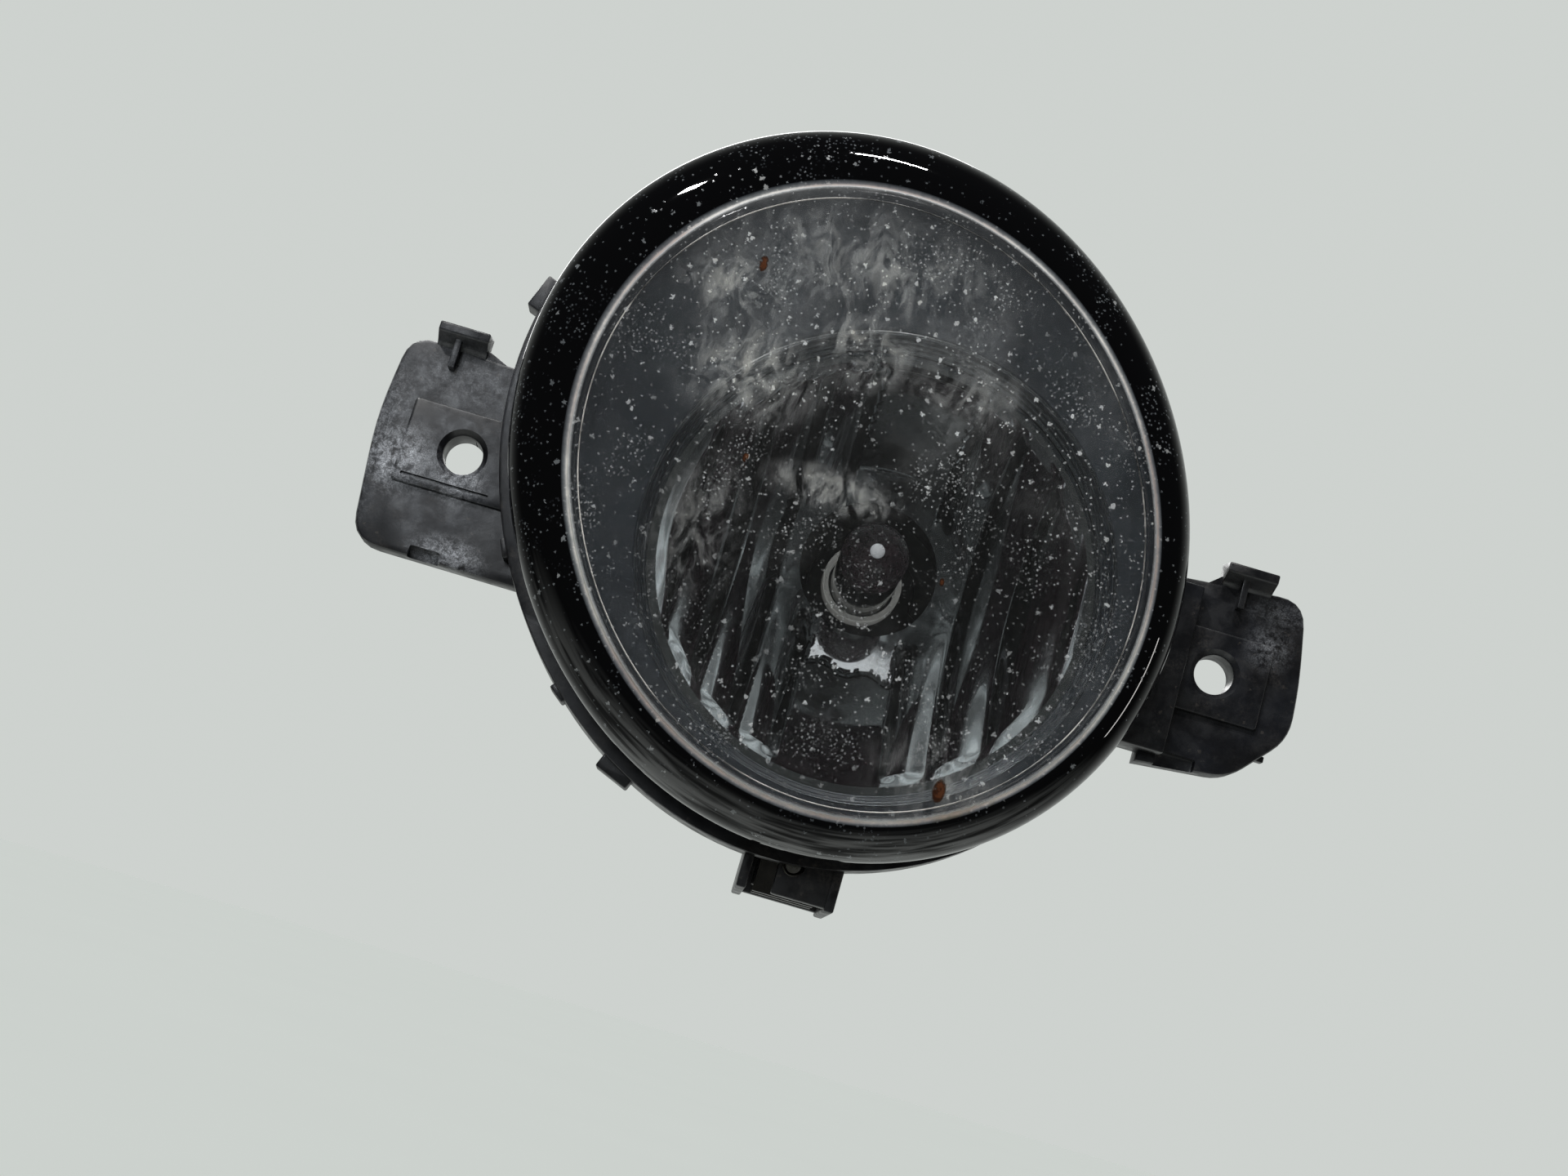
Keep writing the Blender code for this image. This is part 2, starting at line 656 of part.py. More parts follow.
def add_fixing_bosses(housing):
    for n, angle in enumerate(FIXING_ANGLES, 1):
        shank_end = FLANGE_FRONT - GAP + FIXING_SHANK_LENGTH
        boss_end = shank_end + GAP + FIXING_BOSS_FLOOR
        start = fixing_point(angle, TRAY_FRONT + OVERLAP)
        end = fixing_point(angle, boss_end)
        join(housing, cylinder(f"fixing_boss_{n}", FIXING_BOSS, start, end, sides=16))
        mouth = fixing_point(angle, TRAY_FRONT - OVERLAP)
        floor = fixing_point(angle, shank_end + GAP)
        cut(housing, cylinder(f"fixing_bore_{n}", FIXING_SHANK + GAP, mouth, floor, sides=12))


def add_fork(housing):
    """The plate that hangs from the bowl and straddles the adjuster's nut."""
    slot = NUT_WAIST / 2 + GAP
    half = slot + FORK_ARM
    top = APERTURE_CENTRE.y - BOWL_RADIUS + FORK_ROOT
    slot_top = SCREW_Z + NUT_WAIST / 2 + FORK_LIFT
    bottom = SCREW_Z - NUT_FLANGE_WIDTH / 2 + FORK_SHORT
    outline = [
        (SCREW_X - half, top),
        (SCREW_X - half, bottom),
        (SCREW_X - slot, bottom),
        (SCREW_X - slot, slot_top),
        (SCREW_X + slot, slot_top),
        (SCREW_X + slot, bottom),
        (SCREW_X + half, bottom),
        (SCREW_X + half, top),
    ]
    join(housing, plate("fork", outline, NUT_Y - FORK_PLATE / 2, NUT_Y + FORK_PLATE / 2))


def add_vent(housing):
    base = vent_base()
    root = base + Vector((0, 0, -VENT_ROOT))
    end = base + Vector((0, 0, VENT_LENGTH))
    join(housing, cylinder("vent_pipe", VENT_RADIUS, root, end))
    inside = base + Vector((0, 0, -VENT_DEPTH))
    above = end + Vector((0, 0, OVERLAP))
    cut(housing, cylinder("vent_hole", VENT_BORE, inside, above, sides=12))


def vent_base():
    """Where the vent's cap starts, level with the top of the bowl."""
    return Vector((APERTURE_CENTRE.x, VENT_Y, APERTURE_CENTRE.y + BOWL_RADIUS + GAP))


def add_bayonet(housing):
    """Notches that let the bulb's lugs through once it is turned."""
    for n, angle in enumerate(LUG_ANGLES, 1):
        notch = box(
            f"bayonet_notch_{n}",
            (PLUG_RADIUS - 0.002, LUG_RADIUS + 2 * GAP),
            (HOUSING_BACK - REAR_WALL - OVERLAP, HOUSING_BACK + OVERLAP),
            (-LUG_WIDTH / 2 - 2 * GAP, LUG_WIDTH / 2 + 2 * GAP),
        )
        turn_about_bulb(notch, angle - BULB_TURN)
        cut(housing, notch)


def turn_about_bulb(obj, angle):
    """Turns an object at +X about the bulb's axis to an angle in degrees, +Z being 90."""
    turn = Matrix.Rotation(-math.radians(angle), 4, "Y")
    obj.matrix_world = turn @ Matrix.Translation(obj.location)


def make_housing(finish):
    housing = housing_shell(finish)
    add_pivot_bosses(housing)
    add_fixing_bosses(housing)
    add_fork(housing)
    add_vent(housing)
    add_bayonet(housing)
    return housing


def make_vent_cap(finish):
    inner = VENT_RADIUS + GAP
    outer = inner + VENT_CAP_WALL
    depth = VENT_LENGTH + GAP
    profile = [
        (0.0, -depth - VENT_CAP_WALL),
        (outer - 0.001, -depth - VENT_CAP_WALL),
        (outer, -depth - VENT_CAP_WALL + 0.001),
        (outer, 0.0),
        (inner, 0.0),
        (inner, -depth),
        (0.0, -depth),
    ]
    return turned("vent_cap", profile, vent_base(), (0, 0, -1), finish)


def pivot_point(side, distance):
    """A point on the tilt axis, at a distance from the bowl's middle. Side is -1 or 1."""
    return PIVOT + Vector((side * distance, 0, 0))


def make_pivot_bush(side, name, finish):
    bore = PIN_RADIUS + GAP
    body = bore + BUSH_WALL
    profile = [
        (BUSH_FLANGE_RADIUS, -BUSH_FLANGE - GAP),
        (BUSH_FLANGE_RADIUS, -GAP),
        (body, -GAP),
        (body, BUSH_DEPTH),
        (bore, BUSH_DEPTH),
        (bore, -BUSH_FLANGE - GAP),
    ]
    place = pivot_point(side, BOSS_END)
    return turned(f"pivot_bush_{name}", profile, place, (-side, 0, 0), finish, closed=True)


def make_pivot_pin(side, name, finish):
    chamfer = PIN_RADIUS / 4
    profile = [
        (0.0, 0.0),
        (PIN_RADIUS - chamfer, 0.0),
        (PIN_RADIUS, chamfer),
        (PIN_RADIUS, PIN_LENGTH - chamfer),
        (PIN_RADIUS - chamfer, PIN_LENGTH),
        (0.0, PIN_LENGTH),
    ]
    place = pivot_point(side, pin_start())
    return turned(f"pivot_pin_{name}", profile, place, (side, 0, 0), finish)


def pin_start():
    return BOSS_END - BUSH_DEPTH + GAP


# ---------------------------------------------------------------- mounting frame

def frame_ring(finish):
    back = FRAME_FRONT + FRAME_EDGE_DEPTH
    plate_back = FRAME_FRONT + FRAME_PLATE
    inner = FRAME_RADIUS - FRAME_EDGE_WALL
    rings = [
        ring(FRAME_CENTRE, FRAME_RADIUS, FRAME_FRONT, FRAME_STRETCH),
        ring(FRAME_CENTRE, FRAME_RADIUS, back, FRAME_STRETCH),
        ring(FRAME_CENTRE, inner, back, FRAME_STRETCH),
        ring(FRAME_CENTRE, inner, plate_back, FRAME_STRETCH),
        ring(APERTURE_CENTRE, FRAME_OPENING, plate_back),
        ring(APERTURE_CENTRE, FRAME_OPENING, FRAME_FRONT),
    ]
    return loft("mounting_frame", rings, finish)


def ear_outline(side, hole_x):
    """The ear as seen from the front, counterclockwise. Side is -1 for the left ear."""
    inner_x = PIVOT.x + side * (BLOCK_START + BLOCK_OVER_EAR)
    free, root = (LEFT_EAR, LEFT_EAR_ROOT) if side < 0 else (RIGHT_EAR, RIGHT_EAR_ROOT)
    corners = [(hole_x + x, EAR_HOLE_Z + z, radius) for x, z, radius in free]
    top = (inner_x, EAR_HOLE_Z + root[0], 0)
    bottom = (inner_x, EAR_HOLE_Z + root[1], 0)
    if side < 0:
        return rounded([top, *corners, bottom])
    return rounded([bottom, *corners, top])


def add_ear(frame, side, name, hole_x):
    outline = ear_outline(side, hole_x)
    join(frame, plate(f"ear_{name}", outline, EAR_FRONT, EAR_EDGE_BACK))
    hollow = plate(f"ear_hollow_{name}", inset(outline, EAR_EDGE_WALL), EAR_FRONT + EAR_PLATE, 0.0020)
    cut(frame, hollow)


def add_ear_seat(frame, name, hole_x):
    """The round boss whose rear face rests on the car, its raised front pad and its hole."""
    hole = Vector((hole_x, 0.0, EAR_HOLE_Z))
    plate_middle = Vector((0, EAR_FRONT + EAR_PLATE / 2, 0))
    join(frame, cylinder(f"ear_seat_{name}", EAR_SEAT_RADIUS, hole + plate_middle, hole))
    front = EAR_FRONT - EAR_PAD_HEIGHT
    half = EAR_SEAT_RADIUS + 0.0005
    pad = rounded(
        [
            (hole_x - half, EAR_HOLE_Z - half, 0.001),
            (hole_x + half, EAR_HOLE_Z - half, 0.001),
            (hole_x + half, EAR_HOLE_Z + half, 0.001),
            (hole_x - half, EAR_HOLE_Z + half, 0.001),
        ],
        steps=1,
    )
    join(frame, plate(f"ear_pad_{name}", pad, front, EAR_FRONT + OVERLAP))
    lip = EAR_HOLE_RADIUS + EAR_HOLE_LIP
    profile = [
        (0.0, front - OVERLAP),
        (lip + OVERLAP, front - OVERLAP),
        (EAR_HOLE_RADIUS, front + EAR_HOLE_LIP),
        (EAR_HOLE_RADIUS, OVERLAP),
        (0.0, OVERLAP),
    ]
    cut(frame, turned(f"ear_hole_{name}", profile, hole, BACKWARDS))


def add_tab(frame, side, name, hole_x):
    """A hook on the ear's top edge that stands up and reaches forwards."""
    across, above = LEFT_TAB if side < 0 else RIGHT_TAB
    reach = LEFT_TAB_SLOPE if side < 0 else RIGHT_TAB_SLOPE
    middle = hole_x + across
    base = EAR_HOLE_Z + above
    low = base - TAB_ROOT
    top = base + TAB_HEIGHT
    foot = EAR_FRONT + EAR_PLATE
    skin = OVERLAP / 3  # keeps the faces of the joined shapes apart
    # The hook's section is drawn as (y, z) and then turned to face along X.
    outline = [
        (foot, low),
        (foot, top),
        (EAR_FRONT - TAB_REACH, top - TAB_DROP),
        (EAR_FRONT - TAB_REACH, top - TAB_DROP - TAB_WALL),
        (EAR_FRONT + skin, base + TAB_WALL),
        (EAR_FRONT + skin, low),
    ]
    hook = plate(f"tab_{name}", outline, -TAB_WIDTH / 2, TAB_WIDTH / 2)
    place = Matrix.Translation((middle, 0, 0)) @ Matrix.Rotation(math.pi / 2, 4, "Z")
    hook.matrix_world = place @ hook.matrix_world
    join(frame, hook)
    # The slope runs down from the hook's inner end to the ear's edge.
    near = middle - side * (TAB_WIDTH / 2 - OVERLAP)
    far = near - side * reach
    slope = [(near, low), (far, low), (far, base + TAB_DROP), (near, top - TAB_ROOT + TAB_DROP)]
    join(frame, plate(f"tab_slope_{name}", slope, EAR_FRONT + 2 * skin, foot - skin))
    rib_x = (middle - TAB_RIB, middle)
    rib_y = (EAR_FRONT - TAB_RIB_HEIGHT, EAR_FRONT + OVERLAP)
    join(frame, box(f"tab_rib_{name}", rib_x, rib_y, (low + OVERLAP, top - TAB_RIB)))


def add_block(frame, side, name):
    """The thick root of the ear that holds the pivot pin."""
    ends = sorted((PIVOT.x + side * BLOCK_START, PIVOT.x + side * (BLOCK_START + BLOCK_LENGTH)))
    heights = (PIVOT.z - BLOCK_BELOW, PIVOT.z + BLOCK_ABOVE)
    join(frame, box(f"block_{name}", ends, (FRAME_FRONT + 0.0003, EAR_EDGE_BACK - 0.001), heights))
    start = pivot_point(side, BLOCK_START - 2 * OVERLAP)
    end = pivot_point(side, pin_start() + PIN_LENGTH + GAP)
    cut(frame, cylinder(f"pin_bore_{name}", PIN_RADIUS + GAP, start, end))


def add_channel(frame):
    """The channel under the frame in which the adjusting screw turns."""
    top = SCREW_Z + CHANNEL_ABOVE_SCREW
    bottom = SCREW_Z - NUT_FLANGE_WIDTH / 2 - CHANNEL_BELOW_NUT
    start = FRAME_FRONT + FRAME_PLATE - OVERLAP
    left = SCREW_X - CHANNEL_HALF
    right = SCREW_X + CHANNEL_HALF
    window_y = (start + 2 * OVERLAP, FRAME_FRONT + FRAME_EDGE_DEPTH + OVERLAP)
    cut(frame, box("channel_window", (left, right), window_y, (bottom - OVERLAP, top)))
    walls = (
        ("channel_wall_left", (left - CHANNEL_WALL, left), (start - 0.0002, CHANNEL_BACK)),
        ("channel_wall_right", (right, right + CHANNEL_WALL), (start - 0.0002, CHANNEL_BACK)),
        ("channel_front", (SCREW_X - 0.0023, right + OVERLAP), (start, CHANNEL_FRONT)),
        (
            "channel_back",
            (left - OVERLAP, right + OVERLAP),
            (CHANNEL_BACK - CHANNEL_END_WALL, CHANNEL_BACK - 0.0002),
        ),
    )
    for n, (name, x, y) in enumerate(walls):
        trim = 0.0002 * n
        join(frame, box(name, x, y, (bottom + trim, top - trim)))
    front_bore = Vector((SCREW_X, CHANNEL_FRONT - JOURNAL_LENGTH, SCREW_Z))
    front_mouth = Vector((SCREW_X, CHANNEL_FRONT + OVERLAP, SCREW_Z))
    cut(frame, cylinder("channel_front_bore", JOURNAL_RADIUS + GAP, front_bore, front_mouth, sides=16))
    back_bore = Vector((SCREW_X, CHANNEL_BACK - CHANNEL_END_WALL - OVERLAP, SCREW_Z))
    back_mouth = Vector((SCREW_X, CHANNEL_BACK + OVERLAP, SCREW_Z))
    cut(frame, cylinder("channel_back_bore", THREAD_RADIUS + GAP, back_bore, back_mouth, sides=16))


def add_edge_lugs(frame):
    """Short lugs on the frame's edge, where the bumper's trim clips on."""
    for n, angle in enumerate(EDGE_LUG_ANGLES, 1):
        reach = FRAME_RADIUS + FRAME_STRETCH * math.cos(2 * (math.radians(angle) - LONG_AXIS))
        lug = box(
            f"edge_lug_{n}",
            (reach - EDGE_LUG_ROOT, reach + EDGE_LUG_HEIGHT),
            (FRAME_FRONT + OVERLAP, EDGE_LUG_BACK),
            (-EDGE_LUG_WIDTH / 2, EDGE_LUG_WIDTH / 2),
        )
        turn_about_bulb(lug, angle)
        lug.matrix_world = Matrix.Translation((FRAME_CENTRE.x, 0, FRAME_CENTRE.y)) @ lug.matrix_world
        join(frame, lug)


def make_mounting_frame(finish):
    frame = frame_ring(finish)
    for side, name, hole_x in ((-1, "left", LEFT_HOLE_X), (1, "right", RIGHT_HOLE_X)):
        add_ear(frame, side, name, hole_x)
        add_ear_seat(frame, name, hole_x)
        add_tab(frame, side, name, hole_x)
        add_block(frame, side, name)
    add_channel(frame)
    add_edge_lugs(frame)
    return frame


# ---------------------------------------------------------------- aim adjuster

def make_adjusting_screw(finish):
    clip_back = CHANNEL_BACK - CHANNEL_END_WALL - GAP
    groove_front = clip_back - CLIP_THICKNESS - GAP
    groove_back = clip_back + GAP
    head_front = CHANNEL_BACK + GAP
    flange_back = head_front + HEAD_FLANGE
    head_back = flange_back + HEAD_LENGTH
    journal_front = CHANNEL_FRONT - JOURNAL_LENGTH + GAP
    thread_front = CHANNEL_FRONT + 2 * GAP
    profile = [
        (0.0, journal_front),
        (JOURNAL_RADIUS, journal_front),
        (JOURNAL_RADIUS, thread_front),
        (THREAD_RADIUS, thread_front),
        (THREAD_RADIUS, groove_front),
        (GROOVE_RADIUS, groove_front),
        (GROOVE_RADIUS, groove_back),
        (THREAD_RADIUS, groove_back),
        (THREAD_RADIUS, head_front),
        (HEAD_FLANGE_RADIUS, head_front),
        (HEAD_FLANGE_RADIUS, flange_back),
        (HEAD_RADIUS, flange_back),
        (HEAD_RADIUS, head_back),
        (0.0, head_back),
    ]
    screw = turned("adjusting_screw", profile, (SCREW_X, 0, SCREW_Z), BACKWARDS, finish)
    across = DRIVE_SLOT_WIDTH / 2
    along = DRIVE_SLOT_LENGTH / 2
    deep = (head_back - DRIVE_SLOT_DEPTH, head_back + OVERLAP)
    for n, (x, z) in enumerate(((along, across), (across, along)), 1):
        slot_x = (SCREW_X - x, SCREW_X + x)
        cut(screw, box(f"drive_slot_{n}", slot_x, deep, (SCREW_Z - z, SCREW_Z + z)))
    return screw


def make_screw_clip(finish):
    back = CHANNEL_BACK - CHANNEL_END_WALL - GAP
    front = back - CLIP_THICKNESS
    hole = GROOVE_RADIUS + GAP
    profile = [(CLIP_RADIUS, front), (CLIP_RADIUS, back), (hole, back), (hole, front)]
    return turned("screw_clip", profile, (SCREW_X, 0, SCREW_Z), BACKWARDS, finish, closed=True)


def make_adjuster_nut(finish):
    groove = FORK_PLATE / 2 + FORK_PLAY
    end = groove + NUT_FLANGE
    wide = NUT_FLANGE_WIDTH / math.sqrt(2)
    narrow = NUT_WAIST / math.sqrt(2)
    profile = [
        (0.0, -end),
        (wide, -end),
        (wide, -groove),
        (narrow, -groove),
        (narrow, groove),
        (wide, groove),
        (wide, end),
        (0.0, end),
    ]
    place = Vector((SCREW_X, NUT_Y, SCREW_Z))
    nut = turned("adjuster_nut", profile, place, BACKWARDS, finish, sides=4)
    nut.matrix_world = nut.matrix_basis @ Matrix.Rotation(math.pi / 4, 4, "Z")
    start = place + FORWARDS * (end + OVERLAP)
    stop = place + BACKWARDS * (end + OVERLAP)
    cut(nut, cylinder("nut_bore", THREAD_RADIUS + GAP, start, stop))
    return nut


# ---------------------------------------------------------------- bulb

def make_bulb_glass(finish):
    tip = HOUSING_BACK - GLASS_TIP_AHEAD
    foot = HOUSING_BACK - COLLAR_AHEAD + COLLAR_LENGTH - GAP
    outside = [(0.0, tip)]
    inside = []
    for step in range(1, 6):
        turn = math.pi / 2 * step / 5
        outside.append((GLASS_RADIUS * math.sin(turn), tip + GLASS_RADIUS * (1 - math.cos(turn))))
    bore = GLASS_RADIUS - GLASS_WALL
    for step in range(5, 0, -1):
        turn = math.pi / 2 * step / 5
        inside.append((bore * math.sin(turn), tip + GLASS_WALL + bore * (1 - math.cos(turn))))
    inside.append((0.0, tip + GLASS_WALL))
    profile = outside + [(GLASS_RADIUS, foot), (bore, foot)] + inside
    return turned("bulb_glass", profile, (0, 0, 0), BACKWARDS, finish)


def make_bulb_collar(finish):
    front = HOUSING_BACK - COLLAR_AHEAD
    back = front + COLLAR_LENGTH
    bore = GLASS_RADIUS + GAP
    edge = 0.0005
    profile = [
        (COLLAR_RADIUS - edge, front),
        (COLLAR_RADIUS, front + edge),
        (COLLAR_RADIUS, back),
        (bore, back),
        (bore, front),
    ]
    return turned("bulb_collar", profile, (0, 0, 0), BACKWARDS, finish, closed=True)


def make_filament(finish):
    """The coil along the bulb's axis and the two leads that hold it, as one wire."""
    front = FILAMENT_Y - FILAMENT_LENGTH / 2
    foot = HOUSING_BACK - COLLAR_AHEAD + COLLAR_LENGTH - 2 * GAP
    lead_front = front - 0.002
    points = [
        Vector((-LEAD_SPREAD, foot, 0)),
        Vector((-LEAD_SPREAD, lead_front, 0)),
        Vector((-LEAD_SPREAD + 0.0006, lead_front - 0.0006, 0)),
        Vector((0, lead_front - 0.0006, FILAMENT_RADIUS)),
    ]
    per_turn = 8
    for step in range(FILAMENT_TURNS * per_turn + 1):
        turn = 2 * math.pi * step / per_turn
        y = front + FILAMENT_LENGTH * step / (FILAMENT_TURNS * per_turn)
        points.append(Vector((FILAMENT_RADIUS * math.sin(turn), y, FILAMENT_RADIUS * math.cos(turn))))
    after = FILAMENT_Y + FILAMENT_LENGTH / 2
    points += [
        Vector((LEAD_SPREAD - 0.0004, after + 0.0016, FILAMENT_RADIUS / 2)),
        Vector((LEAD_SPREAD, after + 0.0026, 0)),
        Vector((LEAD_SPREAD, foot, 0)),
    ]
    curve = bpy.data.curves.new("filament", "CURVE")
    curve.dimensions = "3D"
    curve.bevel_depth = WIRE_RADIUS
    curve.bevel_resolution = 1
    curve.use_fill_caps = True
    spline = curve.splines.new("POLY")
    spline.points.add(len(points) - 1)
    for point, place in zip(spline.points, points):
        point.co = (*place, 1.0)
    drawn = bpy.data.objects.new("filament_curve", curve)
    helpers.objects.link(drawn)
    return solid_from("filament", drawn, finish)


def make_bulb_base(finish):
    front = HOUSING_BACK - PLUG_AHEAD
    flange_back = BASE_FRONT + BASE_FLANGE
    profile = [
        (0.0, front),
        (PLUG_RADIUS, front),
        (PLUG_RADIUS, BASE_FRONT),
        (BASE_FLANGE_RADIUS - 0.0006, BASE_FRONT),
        (BASE_FLANGE_RADIUS, BASE_FRONT + 0.0006),
        (BASE_FLANGE_RADIUS, flange_back),
        (0.0, flange_back),
    ]
    base = turned("bulb_base", profile, (0, 0, 0), BACKWARDS, finish, sides=36)
    for n, angle in enumerate(LUG_ANGLES, 1):
        back = HOUSING_BACK - REAR_WALL - GAP
        lug = box(
            f"lug_{n}",
            (PLUG_RADIUS - 0.001, LUG_RADIUS),
            (back - LUG_THICKNESS, back),
            (-LUG_WIDTH / 2, LUG_WIDTH / 2),
        )
        turn_about_bulb(lug, angle)
        join(base, lug)
    half = BASE_WIDTH / 2
    back = flange_back + BASE_DEPTH
    corners = [
        (-half, BASE_BOTTOM, 0),
        (half, BASE_BOTTOM, 0),
        (half, BASE_TOP, BASE_CORNER),
        (-half, BASE_TOP, BASE_CORNER),
    ]
    join(base, plate("base_body", rounded(corners, steps=2), flange_back - OVERLAP, back))
    socket_front = back - SOCKET_OUTER_DEPTH
    socket_back = back - SOCKET_INSET
    side = half - SOCKET_INSET
    top = BASE_BOTTOM + SOCKET_ROOT
    join(base, box("socket_shell", (-side, side), (socket_front, socket_back), (-SOCKET_DROP, top)))
    ceiling = SOCKET_CAVITY - SOCKET_DROP
    cavity_x = side - SOCKET_WALL
    cavity_y = (socket_front + SOCKET_WALL, socket_back - SOCKET_WALL)
    cut(base, box("socket_cavity", (-cavity_x, cavity_x), cavity_y, (-SOCKET_DROP - OVERLAP, ceiling)))
    for n in (1, 2):
        x, y, z = blade_place(n)
        slot_x = (x[0] - GAP, x[1] + GAP)
        slot_y = (y[0] - GAP, y[1] + GAP)
        cut(base, box(f"blade_slot_{n}", slot_x, slot_y, (ceiling - OVERLAP, z[1] + GAP)))
    key_y = (back - KEY_ROOT, back + KEY_HEIGHT)
    join(base, box("socket_key", (-KEY_WIDTH / 2, KEY_WIDTH / 2), key_y, (KEY_BOTTOM, KEY_TOP)))
    return base


def blade_place(number):
    """Lowest and highest x, y and z of a terminal blade."""
    middle = BLADE_SPACING / 2 * (1 if number == 2 else -1)
    back = BASE_FRONT + BASE_FLANGE + BASE_DEPTH - SOCKET_INSET
    depth = back - SOCKET_OUTER_DEPTH / 2
    ceiling = SOCKET_CAVITY - SOCKET_DROP
    return (
        (middle - BLADE_WIDTH / 2, middle + BLADE_WIDTH / 2),
        (depth - BLADE_THICKNESS / 2, depth + BLADE_THICKNESS / 2),
        (ceiling - BLADE_EXPOSED, ceiling + BLADE_ROOTED),
    )


def make_terminal(number, finish):
    x, y, z = blade_place(number)
    return box(f"terminal_{number}", x, y, z, finish)


def make_bulb_seal(finish):
    inner = PLUG_RADIUS + GAP
    outer = inner + SEAL_RING_WIDTH
    front = HOUSING_BACK + GAP
    back = front + SEAL_RING_THICKNESS
    edge = SEAL_RING_THICKNESS / 3
    profile = [
        (outer - edge, front),
        (outer, front + edge),
        (outer, back - edge),
        (outer - edge, back),
        (inner, back),
        (inner, front),
    ]
    return turned("bulb_seal", profile, (0, 0, 0), BACKWARDS, finish, closed=True)


# ---------------------------------------------------------------- the whole lamp

def build():
    clear = material("clear_plastic", (0.85, 0.87, 0.88), 0.1, transmission=0.9)
    glass = material("bulb_glass", (0.9, 0.9, 0.9), 0.05, transmission=0.95)
    black = material("black_plastic", (0.02, 0.02, 0.022), 0.45)
    matt = material("matt_dark_plastic", (0.05, 0.055, 0.065), 0.6)
    chrome = material("reflector_metal", (0.8, 0.8, 0.8), 0.08, metallic=1.0)
    steel = material("zinc_steel", (0.55, 0.55, 0.52), 0.35, metallic=1.0)
    rubber = material("rubber", (0.015, 0.015, 0.015), 0.8)
    nylon = material("dark_nylon", (0.05, 0.047, 0.043), 0.5)
    brass = material("tinned_brass", (0.7, 0.62, 0.4), 0.3, metallic=1.0)
    wire = material("tungsten", (0.35, 0.35, 0.36), 0.4, metallic=1.0)
    ceramic = material("grey_collar", (0.5, 0.5, 0.5), 0.4)

    frame = make_mounting_frame(black)
    pins = [make_pivot_pin(-1, "left", steel), make_pivot_pin(1, "right", steel)]
    pins[0].parent = frame
    pins[1].parent = frame

    lamp = axis_empty("lamp_tilt_axis", PIVOT)
    lamp_pieces = [
        make_lens(clear),
        make_lens_seal(rubber),
        make_bezel(matt),
        make_reflector(chrome),
        make_housing(black),
        make_vent_cap(rubber),
        make_pivot_bush(-1, "left", nylon),
        make_pivot_bush(1, "right", nylon),
    ]
    lamp_pieces += [make_reflector_screw(number, steel) for number in (1, 2, 3)]
    hang_on(lamp, *lamp_pieces)

    bulb = axis_empty("bulb_twist_axis", (0, HOUSING_BACK, 0), parent=lamp)
    bulb_pieces = [
        make_bulb_glass(glass),
        make_filament(wire),
        make_bulb_collar(ceramic),
        make_bulb_base(black),
        make_bulb_seal(rubber),
        make_terminal(1, brass),
        make_terminal(2, brass),
    ]
    hang_on(bulb, *bulb_pieces)

    screw_axis = axis_empty("screw_turn_axis", (SCREW_X, 0, SCREW_Z))
    hang_on(screw_axis, make_adjusting_screw(steel), make_screw_clip(steel))
    nut_axis = axis_empty("nut_slide_axis", (SCREW_X, NUT_Y, SCREW_Z))
    hang_on(nut_axis, make_adjuster_nut(nylon))


clear_scene()
pieces = collection("fog_light")
helpers = collection("helpers", hidden=True)
build()
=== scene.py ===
"""Looks of the car fog light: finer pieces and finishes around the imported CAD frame.

Lengths here are in millimetres of the row's frame, and become metres when a mesh is made. Only the
camera, the floor and the lamps are placed in metres.
The lens faces -Y, +Z is up and the bulb's axis is the Y axis.
"""

import json
import math

import bmesh
import bpy
from mathutils import Matrix, Vector


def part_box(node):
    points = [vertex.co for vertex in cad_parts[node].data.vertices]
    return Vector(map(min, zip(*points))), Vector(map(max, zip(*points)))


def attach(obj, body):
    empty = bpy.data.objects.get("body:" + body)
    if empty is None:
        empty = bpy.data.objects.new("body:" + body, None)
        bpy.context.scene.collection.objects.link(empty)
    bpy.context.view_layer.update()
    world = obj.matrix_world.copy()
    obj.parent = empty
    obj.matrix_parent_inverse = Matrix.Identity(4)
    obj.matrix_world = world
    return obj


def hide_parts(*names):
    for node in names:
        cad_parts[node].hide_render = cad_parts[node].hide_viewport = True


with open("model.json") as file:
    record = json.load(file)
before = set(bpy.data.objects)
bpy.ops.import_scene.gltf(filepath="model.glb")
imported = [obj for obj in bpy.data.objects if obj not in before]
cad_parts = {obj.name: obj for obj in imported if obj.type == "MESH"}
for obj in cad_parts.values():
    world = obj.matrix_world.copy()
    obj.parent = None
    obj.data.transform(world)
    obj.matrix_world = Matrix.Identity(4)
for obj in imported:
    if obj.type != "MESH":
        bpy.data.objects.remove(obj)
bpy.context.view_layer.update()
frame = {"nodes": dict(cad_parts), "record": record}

# ---------------------------------------------------------------- places that the CAD gives

MM = 0.001


def corners(node):
    low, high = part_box(node)
    return low / MM, high / MM


lens_low, lens_high = corners("lens")
frame_low, frame_high = corners("mounting_frame")
house_low, house_high = corners("housing")
bezel_low, bezel_high = corners("bezel")
mirror_low = corners("reflector")[0]
seal_low, seal_high = corners("lens_seal")
pin_low, pin_high = corners("pivot_pin_left")
glass_low, glass_high = corners("bulb_glass")
collar_low, collar_high = corners("bulb_collar")
base_low, base_high = corners("bulb_base")
screw_low, screw_high = corners("adjusting_screw")
clip_low, clip_high = corners("screw_clip")
vent_low, vent_high = corners("vent_cap")
SEATS = {m["name"]: [v / MM for v in m["pos_m"]] for m in frame["record"]["mounts"]}

